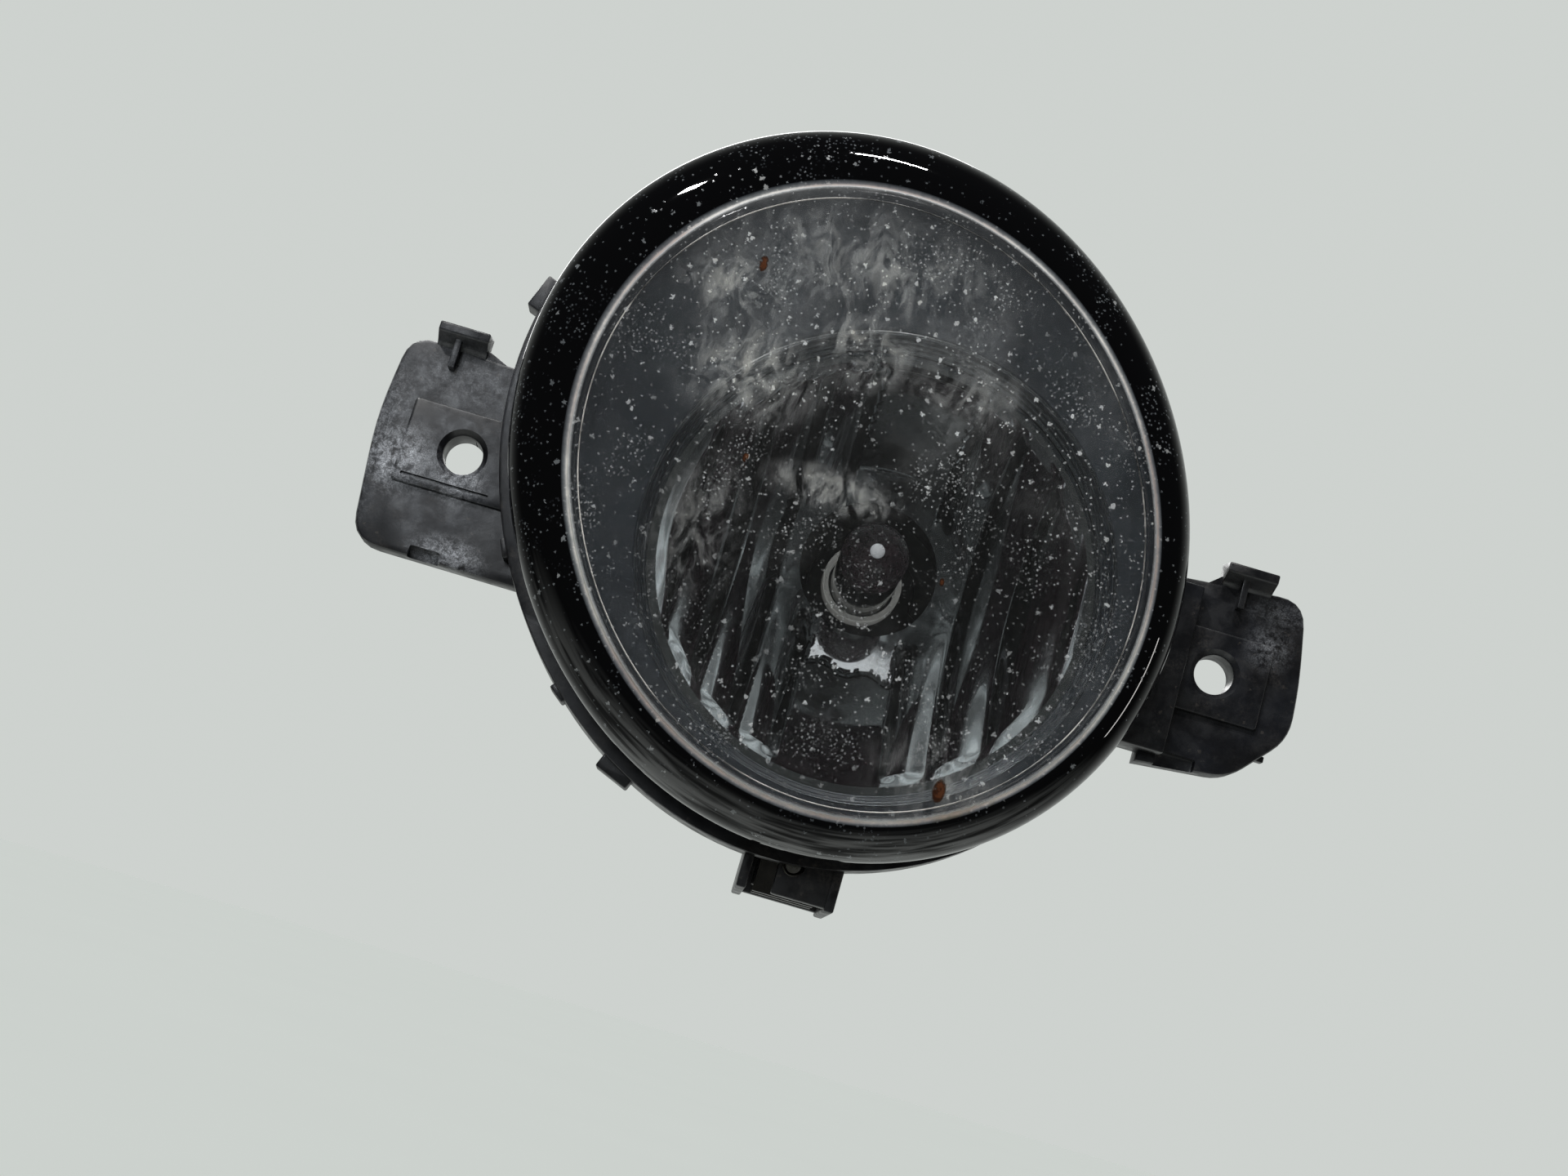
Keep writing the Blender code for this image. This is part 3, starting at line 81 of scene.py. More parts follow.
# An oval has a centre (x, z), a mean radius, and a stretch that its radius swings by along LONG_AXIS.
LONG_AXIS = math.radians(-56.9)
RIM = ((lens_low.x + lens_high.x) / 2, (lens_low.z + lens_high.z) / 2)
RIM_R = 55.0
RIM_STRETCH = 3.1
FACE_SHIFT = 2.2
FACE = (RIM[0] + FACE_SHIFT, RIM[1] - FACE_SHIFT)
FACE_R = 46.7
FACE_STRETCH = 2.8
MOUTH = ((vent_low.x + vent_high.x) / 2, (pin_low.z + pin_high.z) / 2)
BULB = (0.0, 0.0)
HOOP = (-9.5, 4.5)
HOOP_R = 56.0
HOOP_STRETCH = 3.6
SKIRT_R = 54.4
SKIRT_IN = 52.2
EAR_HOLE_Z = SEATS["left_ear_seat"][2]
HOLE_X = {-1: RIM[0] - RIM_R - 6.1, 1: RIM[0] + RIM_R + 10.0}
SCREW = ((clip_low.x + clip_high.x) / 2, (clip_low.z + clip_high.z) / 2)
SIDES = 192


# ---------------------------------------------------------------- mesh tools

def linked(name, data):
    obj = bpy.data.objects.new(name, data)
    bpy.context.scene.collection.objects.link(obj)
    return obj


def add_piece(name, mesh, finish, body, replaced=(), smooth=38):
    """Puts a mesh into the scene as a piece that rides on a body."""
    mesh.name = name
    obj = linked(name, mesh)
    mesh.materials.clear()
    mesh.materials.append(finish)
    mesh.shade_smooth()
    mesh.set_sharp_from_angle(angle=math.radians(smooth))
    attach(obj, body)
    if replaced:
        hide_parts(*replaced)
    return obj


def mesh_of(points, faces):
    """A mesh in metres from points in millimetres, with its faces turned outwards."""
    shape = bmesh.new()
    verts = [shape.verts.new(Vector(p) * MM) for p in points]
    for face in faces:
        shape.faces.new([verts[n] for n in face])
    return finished(shape)


def finished(shape):
    bmesh.ops.recalc_face_normals(shape, faces=shape.faces)
    return mesh_from(shape)


def mesh_from(shape):
    mesh = bpy.data.meshes.new("mesh")
    shape.to_mesh(mesh)
    shape.free()
    return mesh


def around(count):
    """Evenly spaced angles around a circle."""
    return [2 * math.pi * n / count for n in range(count)]


def st(centre, radius, y, stretch=0.0):
    """One station of a lofted wall: an oval at a depth y."""
    return Vector((centre[0], centre[1], radius, stretch, y))


def rim(radius, y):
    return st(RIM, radius, y, RIM_STRETCH)


def hoop(radius, y):
    return st(HOOP, radius, y, HOOP_STRETCH)


def mouth(radius, y):
    return st(MOUTH, radius, y)


def bulb(radius, y):
    return st(BULB, radius, y)


def ring(s, sides=SIDES):
    """The points of a station's oval."""
    points = []
    for a in around(sides):
        reach = s[2] + s[3] * math.cos(2 * (a - LONG_AXIS))
        points.append(Vector((s[0] + reach * math.cos(a), s[4], s[1] + reach * math.sin(a))))
    return points


def eased(path, closed=True, steps=3):
    """Stations from (station, radius) pairs, with each corner rounded to about its radius."""
    made = []
    count = len(path)
    for n, (here, radius) in enumerate(path):
        ends = not closed and n in (0, count - 1)
        if radius <= 0 or ends:
            made.append(here)
            continue
        before, after = path[n - 1][0], path[(n + 1) % count][0]
        first = here + (before - here) * min(0.45, radius / max(length(before - here), 1e-6))
        last = here + (after - here) * min(0.45, radius / max(length(after - here), 1e-6))
        for k in range(steps + 1):
            t = k / steps
            made.append(first * (1 - t) ** 2 + here * 2 * t * (1 - t) + last * t * t)
    return made


def length(v):
    return math.sqrt(sum(x * x for x in v))


def loft(rings, closed=True, poles=(None, None)):
    """A wall through rings of points: closed on itself, or ended by a pole or a flat cap."""
    sides = len(rings[0])
    points = [p for r in rings for p in r]
    faces = []
    for n in range(len(rings) - 1 + closed):
        a, b = n * sides, (n + 1) % len(rings) * sides
        for k in range(sides):
            j = (k + 1) % sides
            faces.append((a + k, a + j, b + j, b + k))
    if not closed:
        for pole, start in ((poles[0], 0), (poles[1], (len(rings) - 1) * sides)):
            if pole is None:
                faces.append(tuple(range(start, start + sides)))
            else:
                points.append(Vector(pole))
                tip = len(points) - 1
                faces += [(start + k, start + (k + 1) % sides, tip) for k in range(sides)]
    return mesh_of(points, faces)


def bead(centre, radius, y, thick, stretch=0.0, sides=8):
    """A ring of round section along an oval."""
    section = []
    for a in around(sides):
        section.append(st(centre, radius + thick * math.cos(a), y + thick * math.sin(a), stretch))
    return loft([ring(s) for s in section])


def turned(profile, origin=(0, 0, 0), axis=(0, 1, 0), sides=48, closed=False):
    """A turned mesh. The profile holds (radius, distance along the axis, corner radius)."""
    place = Vector(origin)
    turn = Vector(axis).to_track_quat("Z", "Y")
    path = [(Vector((r, along)), ease) for r, along, ease in profile]
    rings = []
    poles = [None, None]
    for n, (r, along) in enumerate(eased(path, closed)):
        if r < 1e-6:
            poles[0 if n == 0 else 1] = place + turn @ Vector((0, 0, along))
            continue
        loop = []
        for a in around(sides):
            loop.append(place + turn @ Vector((r * math.cos(a), r * math.sin(a), along)))
        rings.append(loop)
    return loft(rings, closed, poles)


def peg(radius, start, end, ease=0.0):
    """The profile of a plain pin, with its far edge eased."""
    return [(0, start, 0), (radius, start, 0), (radius, end, ease), (0, end, 0)]


def dome(radius, top, depth, steps):
    """The profile of a round end, from just beside its tip to its full radius."""
    points = []
    for k in range(1, steps + 1):
        a = math.pi / 2 * k / steps
        points.append((radius * math.sin(a), top + depth * (1 - math.cos(a)), 0))
    return points


def block(low, high, edge=0.3, segments=2):
    """A box with rounded edges."""
    shape = bmesh.new()
    bmesh.ops.create_cube(shape, size=1.0)
    size = Vector(high) - Vector(low)
    middle = (Vector(high) + Vector(low)) / 2
    for v in shape.verts:
        v.co = Vector((v.co.x * size.x, v.co.y * size.y, v.co.z * size.z))
    if edge:
        bmesh.ops.bevel(
            shape, geom=list(shape.edges), offset=edge, segments=segments, profile=0.5, affect="EDGES"
        )
    for v in shape.verts:
        v.co = (v.co + middle) * MM
    return finished(shape)


def spoke(centre, angle, low, high, edge=0.3):
    """A block drawn along +X from a centre (x, z), and then turned to an angle in degrees."""
    there = Matrix.Translation((centre[0] * MM, 0, centre[1] * MM))
    mesh = block(low, high, edge)
    mesh.transform(there @ Matrix.Rotation(-math.radians(angle), 4, "Y"))
    return mesh


def rounded(points, steps=5):
    """An outline through (x, z, radius) corners."""
    path = [(Vector((x, z)), radius) for x, z, radius in points]
    return eased(path, True, steps)


def inset(points, distance):
    """A counterclockwise outline moved inwards."""
    moved = []
    for n, point in enumerate(points):
        before = (point - points[n - 1]).normalized()
        after = (points[(n + 1) % len(points)] - point).normalized()
        inwards = Vector((-before.y - after.y, before.x + after.x)).normalized()
        squareness = max(0.3, inwards.dot(Vector((-before.y, before.x))))
        moved.append(point + inwards * distance / squareness)
    return moved


def slab(outline, front, back, edge=0.3, place=None):
    """A flat outline of (x, z) points with thickness along y and rounded edges."""
    rings = []
    for y, sign in ((front, 1), (back, -1)):
        loops = []
        for level in (0.0, 0.3, 1.0):
            drop = edge * (1 - math.sqrt(1 - (1 - level) ** 2))
            loops.append([Vector((p.x, y + sign * edge * level, p.y)) for p in inset(outline, drop)])
        rings += loops if sign > 0 else loops[::-1]
    if place is not None:
        rings = [[place @ p for p in loop] for loop in rings]
    return loft(rings, closed=False)


class Moulding:
    """A closed mesh that other meshes are joined to and cut from, in turn."""

    def __init__(self, mesh):
        self.start = mesh
        self.changes = []

    def join(self, *meshes):
        self.changes += [("UNION", mesh) for mesh in meshes]

    def cut(self, *meshes):
        self.changes += [("DIFFERENCE", mesh) for mesh in meshes]

    def mesh(self):
        obj = linked("work", self.start)
        others = []
        for operation, other in self.changes:
            tool = linked("tool", other)
            others.append(tool)
            modifier = obj.modifiers.new("change", "BOOLEAN")
            modifier.operation = operation
            modifier.solver = "EXACT"
            modifier.object = tool
        bpy.context.view_layer.update()
        graph = bpy.context.evaluated_depsgraph_get()
        made = bpy.data.meshes.new_from_object(obj.evaluated_get(graph))
        shape = bmesh.new()
        shape.from_mesh(made)
        bmesh.ops.remove_doubles(shape, verts=shape.verts, dist=0.000002)
        bmesh.ops.dissolve_degenerate(shape, edges=shape.edges, dist=0.000002)
        shape.to_mesh(made)
        shape.free()
        for old in (obj, *others):
            bpy.data.objects.remove(old)
        return made


def several(meshes):
    """Separate closed shapes as one mesh."""
    shape = bmesh.new()
    for mesh in meshes:
        shape.from_mesh(mesh)
    return mesh_from(shape)


# ---------------------------------------------------------------- finishes

class Nodes:
    """Short names for the shader nodes that the finishes and the room are made of."""

    def __init__(self, tree):
        self.tree = tree

    def add(self, kind):
        return self.tree.nodes.new("ShaderNode" + kind)

    def fill(self, socket, value):
        if isinstance(value, bpy.types.NodeSocket):
            self.tree.links.new(value, socket)
        elif isinstance(value, tuple) and len(value) == 3 and socket.type == "RGBA":
            socket.default_value = (*value, 1.0)
        else:
            socket.default_value = value

    def noise(self, scale, detail=4.0, rough=0.55, twist=0.0, place=None):
        node = self.add("TexNoise")
        self.fill(node.inputs["Vector"], place or self.place)
        node.inputs["Scale"].default_value = scale
        node.inputs["Detail"].default_value = detail
        node.inputs["Roughness"].default_value = rough
        node.inputs["Distortion"].default_value = twist
        return node.outputs["Fac"]

    def ramp(self, value, low, high, start=0.0, end=1.0):
        """A smooth step from start to end while the value goes from low to high."""
        node = self.add("MapRange")
        node.interpolation_type = "SMOOTHSTEP"
        ends = (("From Min", low), ("From Max", high), ("To Min", start), ("To Max", end))
        for name, given in (("Value", value), *ends):
            self.fill(node.inputs[name], given)
        return node.outputs["Result"]

    def calc(self, operation, a, b):
        node = self.add("Math")
        node.operation = operation
        self.fill(node.inputs[0], a)
        self.fill(node.inputs[1], b)
        return node.outputs[0]

    def times(self, a, b):
        return self.calc("MULTIPLY", a, b)

    def plus(self, a, b):
        return self.calc("ADD", a, b)

    def most(self, a, b):
        return self.calc("MAXIMUM", a, b)


class Finish(Nodes):
    """A Principled material whose textures are placed in millimetres on the lamp itself."""

    def __init__(self, name, **plain):
        self.material = bpy.data.materials.new(name)
        self.material.use_nodes = True
        super().__init__(self.material.node_tree)
        self.shader = self.tree.nodes["Principled BSDF"]
        coords = self.add("TexCoord")
        scale = self.add("VectorMath")
        scale.operation = "SCALE"
        scale.inputs["Scale"].default_value = 1 / MM
        self.tree.links.new(coords.outputs["Object"], scale.inputs[0])
        self.place = scale.outputs[0]
        for socket, value in plain.items():
            self.set(socket.replace("_", " "), value)

    def set(self, name, value):
        self.fill(self.shader.inputs[name], value)

    def vector(self, operation, a, b):
        node = self.add("VectorMath")
        node.operation = operation
        self.fill(node.inputs[0], a)
        node.inputs[1].default_value = b
        return node.outputs[0]

    def cells(self, scale):
        node = self.add("TexVoronoi")
        self.fill(node.inputs["Vector"], self.place)
        node.inputs["Scale"].default_value = scale
        return node.outputs["Distance"]

    def clip(self, value):
        return self.calc("MINIMUM", self.most(value, 0.0), 1.0)

    def blend(self, share, a, b):
        node = self.add("Mix")
        node.data_type = "RGBA"
        for name, value in (("Factor", share), ("A", a), ("B", b)):
            sockets = [s for s in node.inputs if s.name == name and s.enabled]
            self.fill(sockets[0], value)
        return [s for s in node.outputs if s.enabled][0]

    def near(self, point, reach, squash=(1.0, 1.0, 1.0)):
        """1 at a point, fading to 0 at the reach from it."""
        away = self.vector("MULTIPLY", self.vector("SUBTRACT", self.place, point), squash)
        size = self.add("VectorMath")
        size.operation = "LENGTH"
        self.fill(size.inputs[0], away)
        return self.ramp(size.outputs["Value"], reach, 0.0)

    def attribute(self, name):
        node = self.add("Attribute")
        node.attribute_name = name
        return node.outputs["Fac"]

    def bump(self, height, distance, strength):
        node = self.add("Bump")
        node.inputs["Strength"].default_value = strength
        node.inputs["Distance"].default_value = distance * MM
        self.fill(node.inputs["Height"], height)
        self.fill(self.shader.inputs["Normal"], node.outputs[0])


def specks(f, scale, size):
    """A mask of small irregular dots."""
    ragged = f.times(f.calc("SUBTRACT", f.noise(scale * 9, 2.0), 0.5), 0.4)
    return f.ramp(f.plus(f.cells(scale), ragged), size, size * 0.6)


def strongest(f, spots):
    """The strongest of several soft spots, each a point, a reach, a squash and a weight."""
    value = 0.0
    for point, reach, squash, weight in spots:
        value = f.most(value, f.times(f.near(point, reach, squash), weight))
    return value


LENS_SMUDGES = [
    ((-11, -30, 24), 12, (1, 0.2, 1.4), 0.75),
    ((-27, -30, 16), 13, (0.9, 0.2, 1.1), 0.85),
    ((-10, -30, 1), 8, (0.6, 0.2, 1.8), 1.0),
    ((-28, -30, -10), 12, (1.3, 0.2, 0.8), 0.5),
    ((-33, -30, 28), 10, (0.9, 0.2, 1.2), 0.8),
    ((-14, -30, 37), 18, (0.6, 0.2, 1.5), 0.5),
    ((6, -30, 22), 12, (0.9, 0.2, 1.5), 0.4),
    ((17, -30, -37), 12, (0.8, 0.2, 1.2), 0.4),
]
LENS_RUST = [
    ((17.4, -29.4, -38.2), 1.5, (1.3, 0.3, 0.7), 1.0),
    ((-29.9, -29.6, 32.2), 1.1, (1.3, 0.3, 0.7), 1.0),
    ((9.5, -29.9, -8.0), 0.6, (1.3, 0.3, 0.7), 1.0),
    ((-24.0, -30.0, 2.0), 0.7, (1.3, 0.3, 0.7), 1.0),
]
# Grey patches on the ears: real scuffs, with the heavier ones on the left ear also standing in as painted
# sheen.
FRAME_WEAR_AND_SHEEN = [
    ((-79, -5, -8), 10, (1.0, 0.3, 1.2), 1.0),
    ((-68, -5, -9), 7, (1.0, 0.3, 1.2), 0.9),
    ((-66, -5, -21), 6, (0.7, 0.3, 1.4), 0.9),
    ((-84, -5, -2), 12, (1.6, 0.3, 0.7), 0.5),
    ((-85, -5, -16), 8, (1.2, 0.3, 1.0), 0.4),
    ((-72, -5, 8), 12, (0.8, 0.3, 1.3), 0.25),
    ((65, -5, 2), 6, (1.1, 0.3, 1.1), 0.5),
    ((66, -5, 8), 6, (0.6, 0.3, 1.6), 0.25),
]

CLEAR_TINT = (0.93, 0.95, 0.95)
RIM_BLACK = (0.0015, 0.0015, 0.002)
# Blue-grey of the face's haze: a painted reflection of the room over a real dust film.
HAZE_AND_SHEEN_BLUE = (0.40, 0.46, 0.52)
OLIVE = (0.33, 0.30, 0.14)
PALE_DUST = (0.72, 0.72, 0.69)
# Pale and pinkish colours of the painted highlight along the face's edge step.
EDGE_GLINT_PALE = (0.86, 0.83, 0.77)
EDGE_GLINT_PINK = (0.50, 0.40, 0.35)
RUST = (0.10, 0.036, 0.016)
# Grey of the ear patches, partly scuffs and partly painted sheen.
SCUFF_AND_SHEEN_GREY = (0.30, 0.31, 0.33)


def clear_lens():
    """Clear plastic on the face and black on the rim, hazed, smudged and speckled, with a painted blue-grey
    sheen in the haze and a painted highlight along the face's edge.
    """
    f = Finish("lens_plastic", IOR=1.49)
    face = f.attribute("face")
    patchy = f.ramp(f.noise(0.055, 5.0, 0.62, 0.6), 0.42, 0.75)
    fine = f.ramp(f.noise(0.9, 4.0, 0.7), 0.35, 0.8, 0.5, 1.5)
    upper = f.ramp(f.near((-6, -30, 36), 62, (1, 0, 1)), 0.0, 1.0, 0.35, 1.0)
    # The haze is a real dust film, heavier towards the top, and its blue-grey colour is a painted reflection.
    haze_and_sheen = f.times(f.times(f.ramp(patchy, 0.0, 1.0, 0.009, 0.048), fine), upper)
    stretched = f.vector("MULTIPLY", f.place, (1.3, 1.0, 0.75))
    torn = f.ramp(f.noise(0.2, 6.0, 0.66, 1.4, stretched), 0.44, 0.68)
    smudge = f.times(f.times(strongest(f, LENS_SMUDGES), torn), 0.36)
    dots = f.most(f.times(specks(f, 0.30, 0.12), 0.75), f.times(specks(f, 0.8, 0.16), 0.5))
    dots = f.times(dots, f.ramp(f.noise(0.05, 2.0), 0.36, 0.6, 0.4, 1.0))
    clusters = f.ramp(f.noise(0.10, 3.0), 0.52, 0.66)
    crumbs = f.times(f.times(specks(f, 1.5, 0.3), clusters), 0.3)
    dots = f.times(f.most(dots, crumbs), 0.62)
    # The painted highlight along the face's edge step, where the 'edge' attribute is high.
    edge_glint = f.times(f.attribute("edge"), f.ramp(f.noise(0.6, 4.0, 0.7), 0.25, 0.7, 0.65, 1.0))
    rust = f.times(strongest(f, LENS_RUST), f.ramp(f.noise(1.2, 4.0), 0.3, 0.65, 0.0, 2.0))
    rust = f.clip(rust)
    film = f.times(f.plus(haze_and_sheen, smudge), face)
    # This mask holds dust, smudges and the painted edge highlight together.
    dust = f.clip(f.plus(f.plus(film, dots), edge_glint))
    soil_and_glint = f.clip(f.plus(dust, f.times(rust, 0.8)))
    # Dirt colours, with the haze's blue-grey as painted sheen and, below, the painted edge highlight's
    # colours.
    grime_and_sheen = f.blend(f.clip(f.times(smudge, 10.0)), HAZE_AND_SHEEN_BLUE, OLIVE)
    grime_and_sheen = f.blend(f.clip(f.times(dots, 1.6)), grime_and_sheen, PALE_DUST)
    pinkish = f.ramp(f.noise(0.035, 2.0), 0.40, 0.60)
    grime_and_sheen = f.blend(edge_glint, grime_and_sheen, f.blend(pinkish, EDGE_GLINT_PALE, EDGE_GLINT_PINK))
    clean = f.blend(face, RIM_BLACK, CLEAR_TINT)
    rusty = f.clip(f.times(rust, 6.0))
    f.set("Base Color", f.blend(rusty, f.blend(soil_and_glint, clean, grime_and_sheen), RUST))
    see_through = f.times(f.calc("SUBTRACT", 1.0, soil_and_glint), f.ramp(face, 0.2, 0.8))
    f.set("Transmission Weight", see_through)
    f.set("Roughness", f.plus(f.times(dust, 0.6), 0.02))
    f.bump(f.plus(f.times(dots, 0.5), f.noise(0.03, 2.0)), 0.05, 0.3)
    return f.material


def moulded(name, dark, light, rough, dust, dust_colour=(0.30, 0.27, 0.22)):
    """Moulded plastic: grain, colour variation, sheen and dust that gathers in patches."""
    f = Finish(name, Specular_IOR_Level=0.5)
    broad = f.ramp(f.noise(0.07, 5.0, 0.6, 0.4), 0.35, 0.7)
    flow = f.noise(0.35, 5.0, 0.6, 0.3)
    patches = f.ramp(f.noise(0.16, 6.0, 0.7, 0.5), 0.48, 0.75)
    powder = f.clip(f.times(f.times(patches, f.ramp(f.noise(2.4, 3.0), 0.35, 0.65)), dust))
    dots = f.times(specks(f, 0.4, 0.12), min(1.0, dust * 1.2))
    f.set("Base Color", f.blend(f.clip(f.most(powder, dots)), f.blend(broad, dark, light), dust_colour))
    sheen = f.ramp(flow, 0.3, 0.7, rough - 0.1, rough + 0.12)
    f.set("Roughness", f.clip(f.plus(sheen, f.times(powder, 0.3))))
    f.bump(f.plus(f.times(f.noise(2.2, 3.0), 0.5), flow), 0.05, 0.35)
    return f


def frame_wear_and_sheen():
    """Black moulded plastic, grey in patches on the ears: real scuffs, and on the left ear also a painted
    sheen of reflected light.
    """
    f = moulded("frame_plastic", (0.005, 0.005, 0.006), (0.009, 0.010, 0.013), 0.38, 0.16, (0.14, 0.12, 0.10))
    base = f.shader.inputs["Base Color"].links[0].from_socket
    rough = f.shader.inputs["Roughness"].links[0].from_socket
    torn = f.ramp(f.noise(0.8, 6.0, 0.72, 0.5), 0.36, 0.62)
    grit = f.ramp(f.noise(4.5, 3.0, 0.75), 0.40, 0.60)
    broken_up = f.times(torn, f.plus(grit, 0.35))
    # The grey patches are real scuffs and, on the left ear, painted sheen.
    pale_mark = f.clip(f.times(strongest(f, FRAME_WEAR_AND_SHEEN), broken_up))
    f.set("Base Color", f.blend(pale_mark, base, SCUFF_AND_SHEEN_GREY))
    f.set("Roughness", f.clip(f.calc("SUBTRACT", rough, f.times(pale_mark, 0.12))))
    return f.material


def bezel_finish():
    f = Finish("bezel_plastic", Specular_IOR_Level=0.2)
    broad = f.ramp(f.noise(0.06, 4.0, 0.6), 0.35, 0.7)
    f.set("Base Color", f.blend(broad, (0.007, 0.009, 0.012), (0.013, 0.016, 0.020)))
    f.set("Roughness", f.ramp(f.noise(0.3, 4.0), 0.3, 0.7, 0.42, 0.55))
    f.bump(f.noise(3.0, 3.0), 0.03, 0.4)
    return f.material


def metal(name, colour, second, rough, scratch=0.0):
    f = Finish(name, Metallic=1.0)
    broad = f.ramp(f.noise(0.15, 4.0, 0.6), 0.3, 0.75)
    f.set("Base Color", f.blend(broad, colour, second))
    f.set("Roughness", f.ramp(f.noise(1.6, 4.0, 0.6), 0.25, 0.75, rough * 0.7, rough * 1.3))
    if scratch:
        f.bump(f.noise(1.2, 4.0, 0.6), 0.02, scratch)
    return f.material


def chrome():
    f = Finish("reflector_mirror", Metallic=1.0)
    cloudy = f.ramp(f.noise(0.09, 5.0, 0.6, 0.5), 0.35, 0.75)
    film = f.times(cloudy, f.ramp(f.noise(1.5, 4.0, 0.7), 0.3, 0.7, 0.4, 1.0))
    f.set("Base Color", f.blend(film, (0.66, 0.67, 0.69), (0.46, 0.47, 0.48)))
    f.set("Roughness", f.ramp(film, 0.0, 1.0, 0.035, 0.16))
    f.bump(f.noise(0.22, 2.0), 0.03, 0.2)
    return f.material


def glass(name, tint=(0.95, 0.96, 0.96), rough=0.0, clear=1.0):
    f = Finish(name, IOR=1.5, Transmission_Weight=clear)
    darker = tuple(c * 0.93 for c in tint)
    f.set("Base Color", f.blend(f.ramp(f.noise(0.4, 3.0), 0.3, 0.7), tint, darker))
    f.set("Roughness", f.ramp(f.noise(0.8, 3.0), 0.3, 0.8, rough, rough + 0.05))
    return f.material


def painted_edge_line_finish():
    # A pale line broken by dark gaps: a painted highlight for the bead behind the face's edge.
    f = Finish("painted_edge_highlight", Specular_IOR_Level=0.6)
    gaps = f.ramp(f.noise(0.045, 5.0, 0.6), 0.42, 0.58)
    f.set("Base Color", f.blend(gaps, (0.46, 0.43, 0.40), (0.03, 0.028, 0.026)))
    f.set("Roughness", f.ramp(f.noise(0.9, 3.0), 0.3, 0.7, 0.2, 0.4))
    return f.material


def soft(name, dark, light, rough):
    """Rubber, nylon, ceramic or paint: mottled, with a fine grain."""
    f = Finish(name, Specular_IOR_Level=0.4)
    f.set("Base Color", f.blend(f.ramp(f.noise(0.3, 5.0, 0.65), 0.3, 0.72), dark, light))
    f.set("Roughness", f.ramp(f.noise(1.5, 3.0), 0.3, 0.7, rough - 0.08, rough + 0.08))
    f.bump(f.noise(3.0, 3.0), 0.03, 0.4)
    return f.material


CLEAR = clear_lens()
FRAME_BLACK = frame_wear_and_sheen()
HOUSING_BLACK = moulded("housing_plastic", (0.010, 0.010, 0.011), (0.018, 0.017, 0.017), 0.46, 0.3).material
BASE_BLACK = moulded("bulb_base_plastic", (0.010, 0.010, 0.012), (0.018, 0.018, 0.020), 0.4, 0.12).material
BEZEL_DARK = bezel_finish()
CHROME = chrome()
PAINTED_EDGE_LINE = painted_edge_line_finish()
RING_GREY = glass("aperture_ring_plastic", (0.62, 0.66, 0.70), 0.12)
BULB_GLASS = glass("bulb_quartz")
# The bulb's tip is made pale and milky: a painted highlight on its clear glass.
TIP_GLASS_PAINTED_GLINT = glass("bulb_tip_painted_glint", (0.86, 0.87, 0.90), 0.08, 0.4)
CAP_BLACK = soft("bulb_cap_paint", (0.008, 0.005, 0.007), (0.024, 0.013, 0.016), 0.3)
COLLAR_GREY = soft("collar_ceramic", (0.62, 0.62, 0.59), (0.80, 0.79, 0.75), 0.4)
RUBBER = soft("rubber", (0.010, 0.010, 0.010), (0.030, 0.028, 0.026), 0.75)
NYLON = soft("dark_nylon", (0.035, 0.033, 0.030), (0.060, 0.056, 0.050), 0.45)
ZINC = metal("zinc_steel", (0.52, 0.51, 0.47), (0.34, 0.33, 0.29), 0.34, 0.3)
TUNGSTEN = metal("tungsten", (0.30, 0.30, 0.31), (0.42, 0.41, 0.40), 0.35)
BRASS = metal("tinned_brass", (0.66, 0.60, 0.44), (0.52, 0.48, 0.38), 0.28, 0.2)


# ---------------------------------------------------------------- camera, floor and light, in metres

def place_camera():
    data = bpy.data.cameras.new("camera")
    data.lens = 50.25
    data.sensor_width = 36.0
    data.clip_start = 0.01
    data.clip_end = 20.0
    camera = linked("camera", data)
    right = Vector((0.95981, -0.05355, 0.27551))
    back = -Vector((0.0, 0.98163, 0.19081))
    up = back.cross(right).normalized()
    turn = Matrix((right, up, back)).transposed().to_4x4()
    camera.matrix_world = Matrix.Translation((-0.01292, -0.34998, -0.07781)) @ turn
    bpy.context.scene.camera = camera


BACKGROUND = (0.955, 1.0, 0.965)
BACKGROUND_LEVEL = 0.645
FLOOR_GLOW = 0.275
FLOOR_RADIUS = 6.0
FLOOR_DROP = 0.17
unlit = bpy.data.collections.new("not_lit_by_lamps")
ears_only = bpy.data.collections.new("lit_by_ear_light")
inner_parts = bpy.data.collections.new("lit_by_mirror_lights")
blockers = bpy.data.collections.new("shade_mirror_lights")


def place_floor():
    """The pale floor: seen by the camera, but not reflected in the lamp or lit by the lamps."""
    shape = bmesh.new()
    bmesh.ops.create_circle(shape, cap_ends=True, segments=96, radius=FLOOR_RADIUS)
    floor = linked("floor", finished(shape))
    floor.location = (0, 0, -FLOOR_DROP)
    f = Finish("floor_paint", Specular_IOR_Level=0.0)
    f.set("Base Color", f.blend(f.noise(0.004, 3.0), (0.755, 0.79, 0.762), (0.72, 0.755, 0.728)))
    f.set("Roughness", 0.6)
    f.set("Emission Color", BACKGROUND)
    f.set("Emission Strength", FLOOR_GLOW)
    floor.data.materials.append(f.material)
    floor.visible_glossy = False
    floor.visible_diffuse = False
    floor.visible_transmission = False
    unlit.objects.link(floor)
    unlit.collection_objects[0].light_linking.link_state = "EXCLUDE"


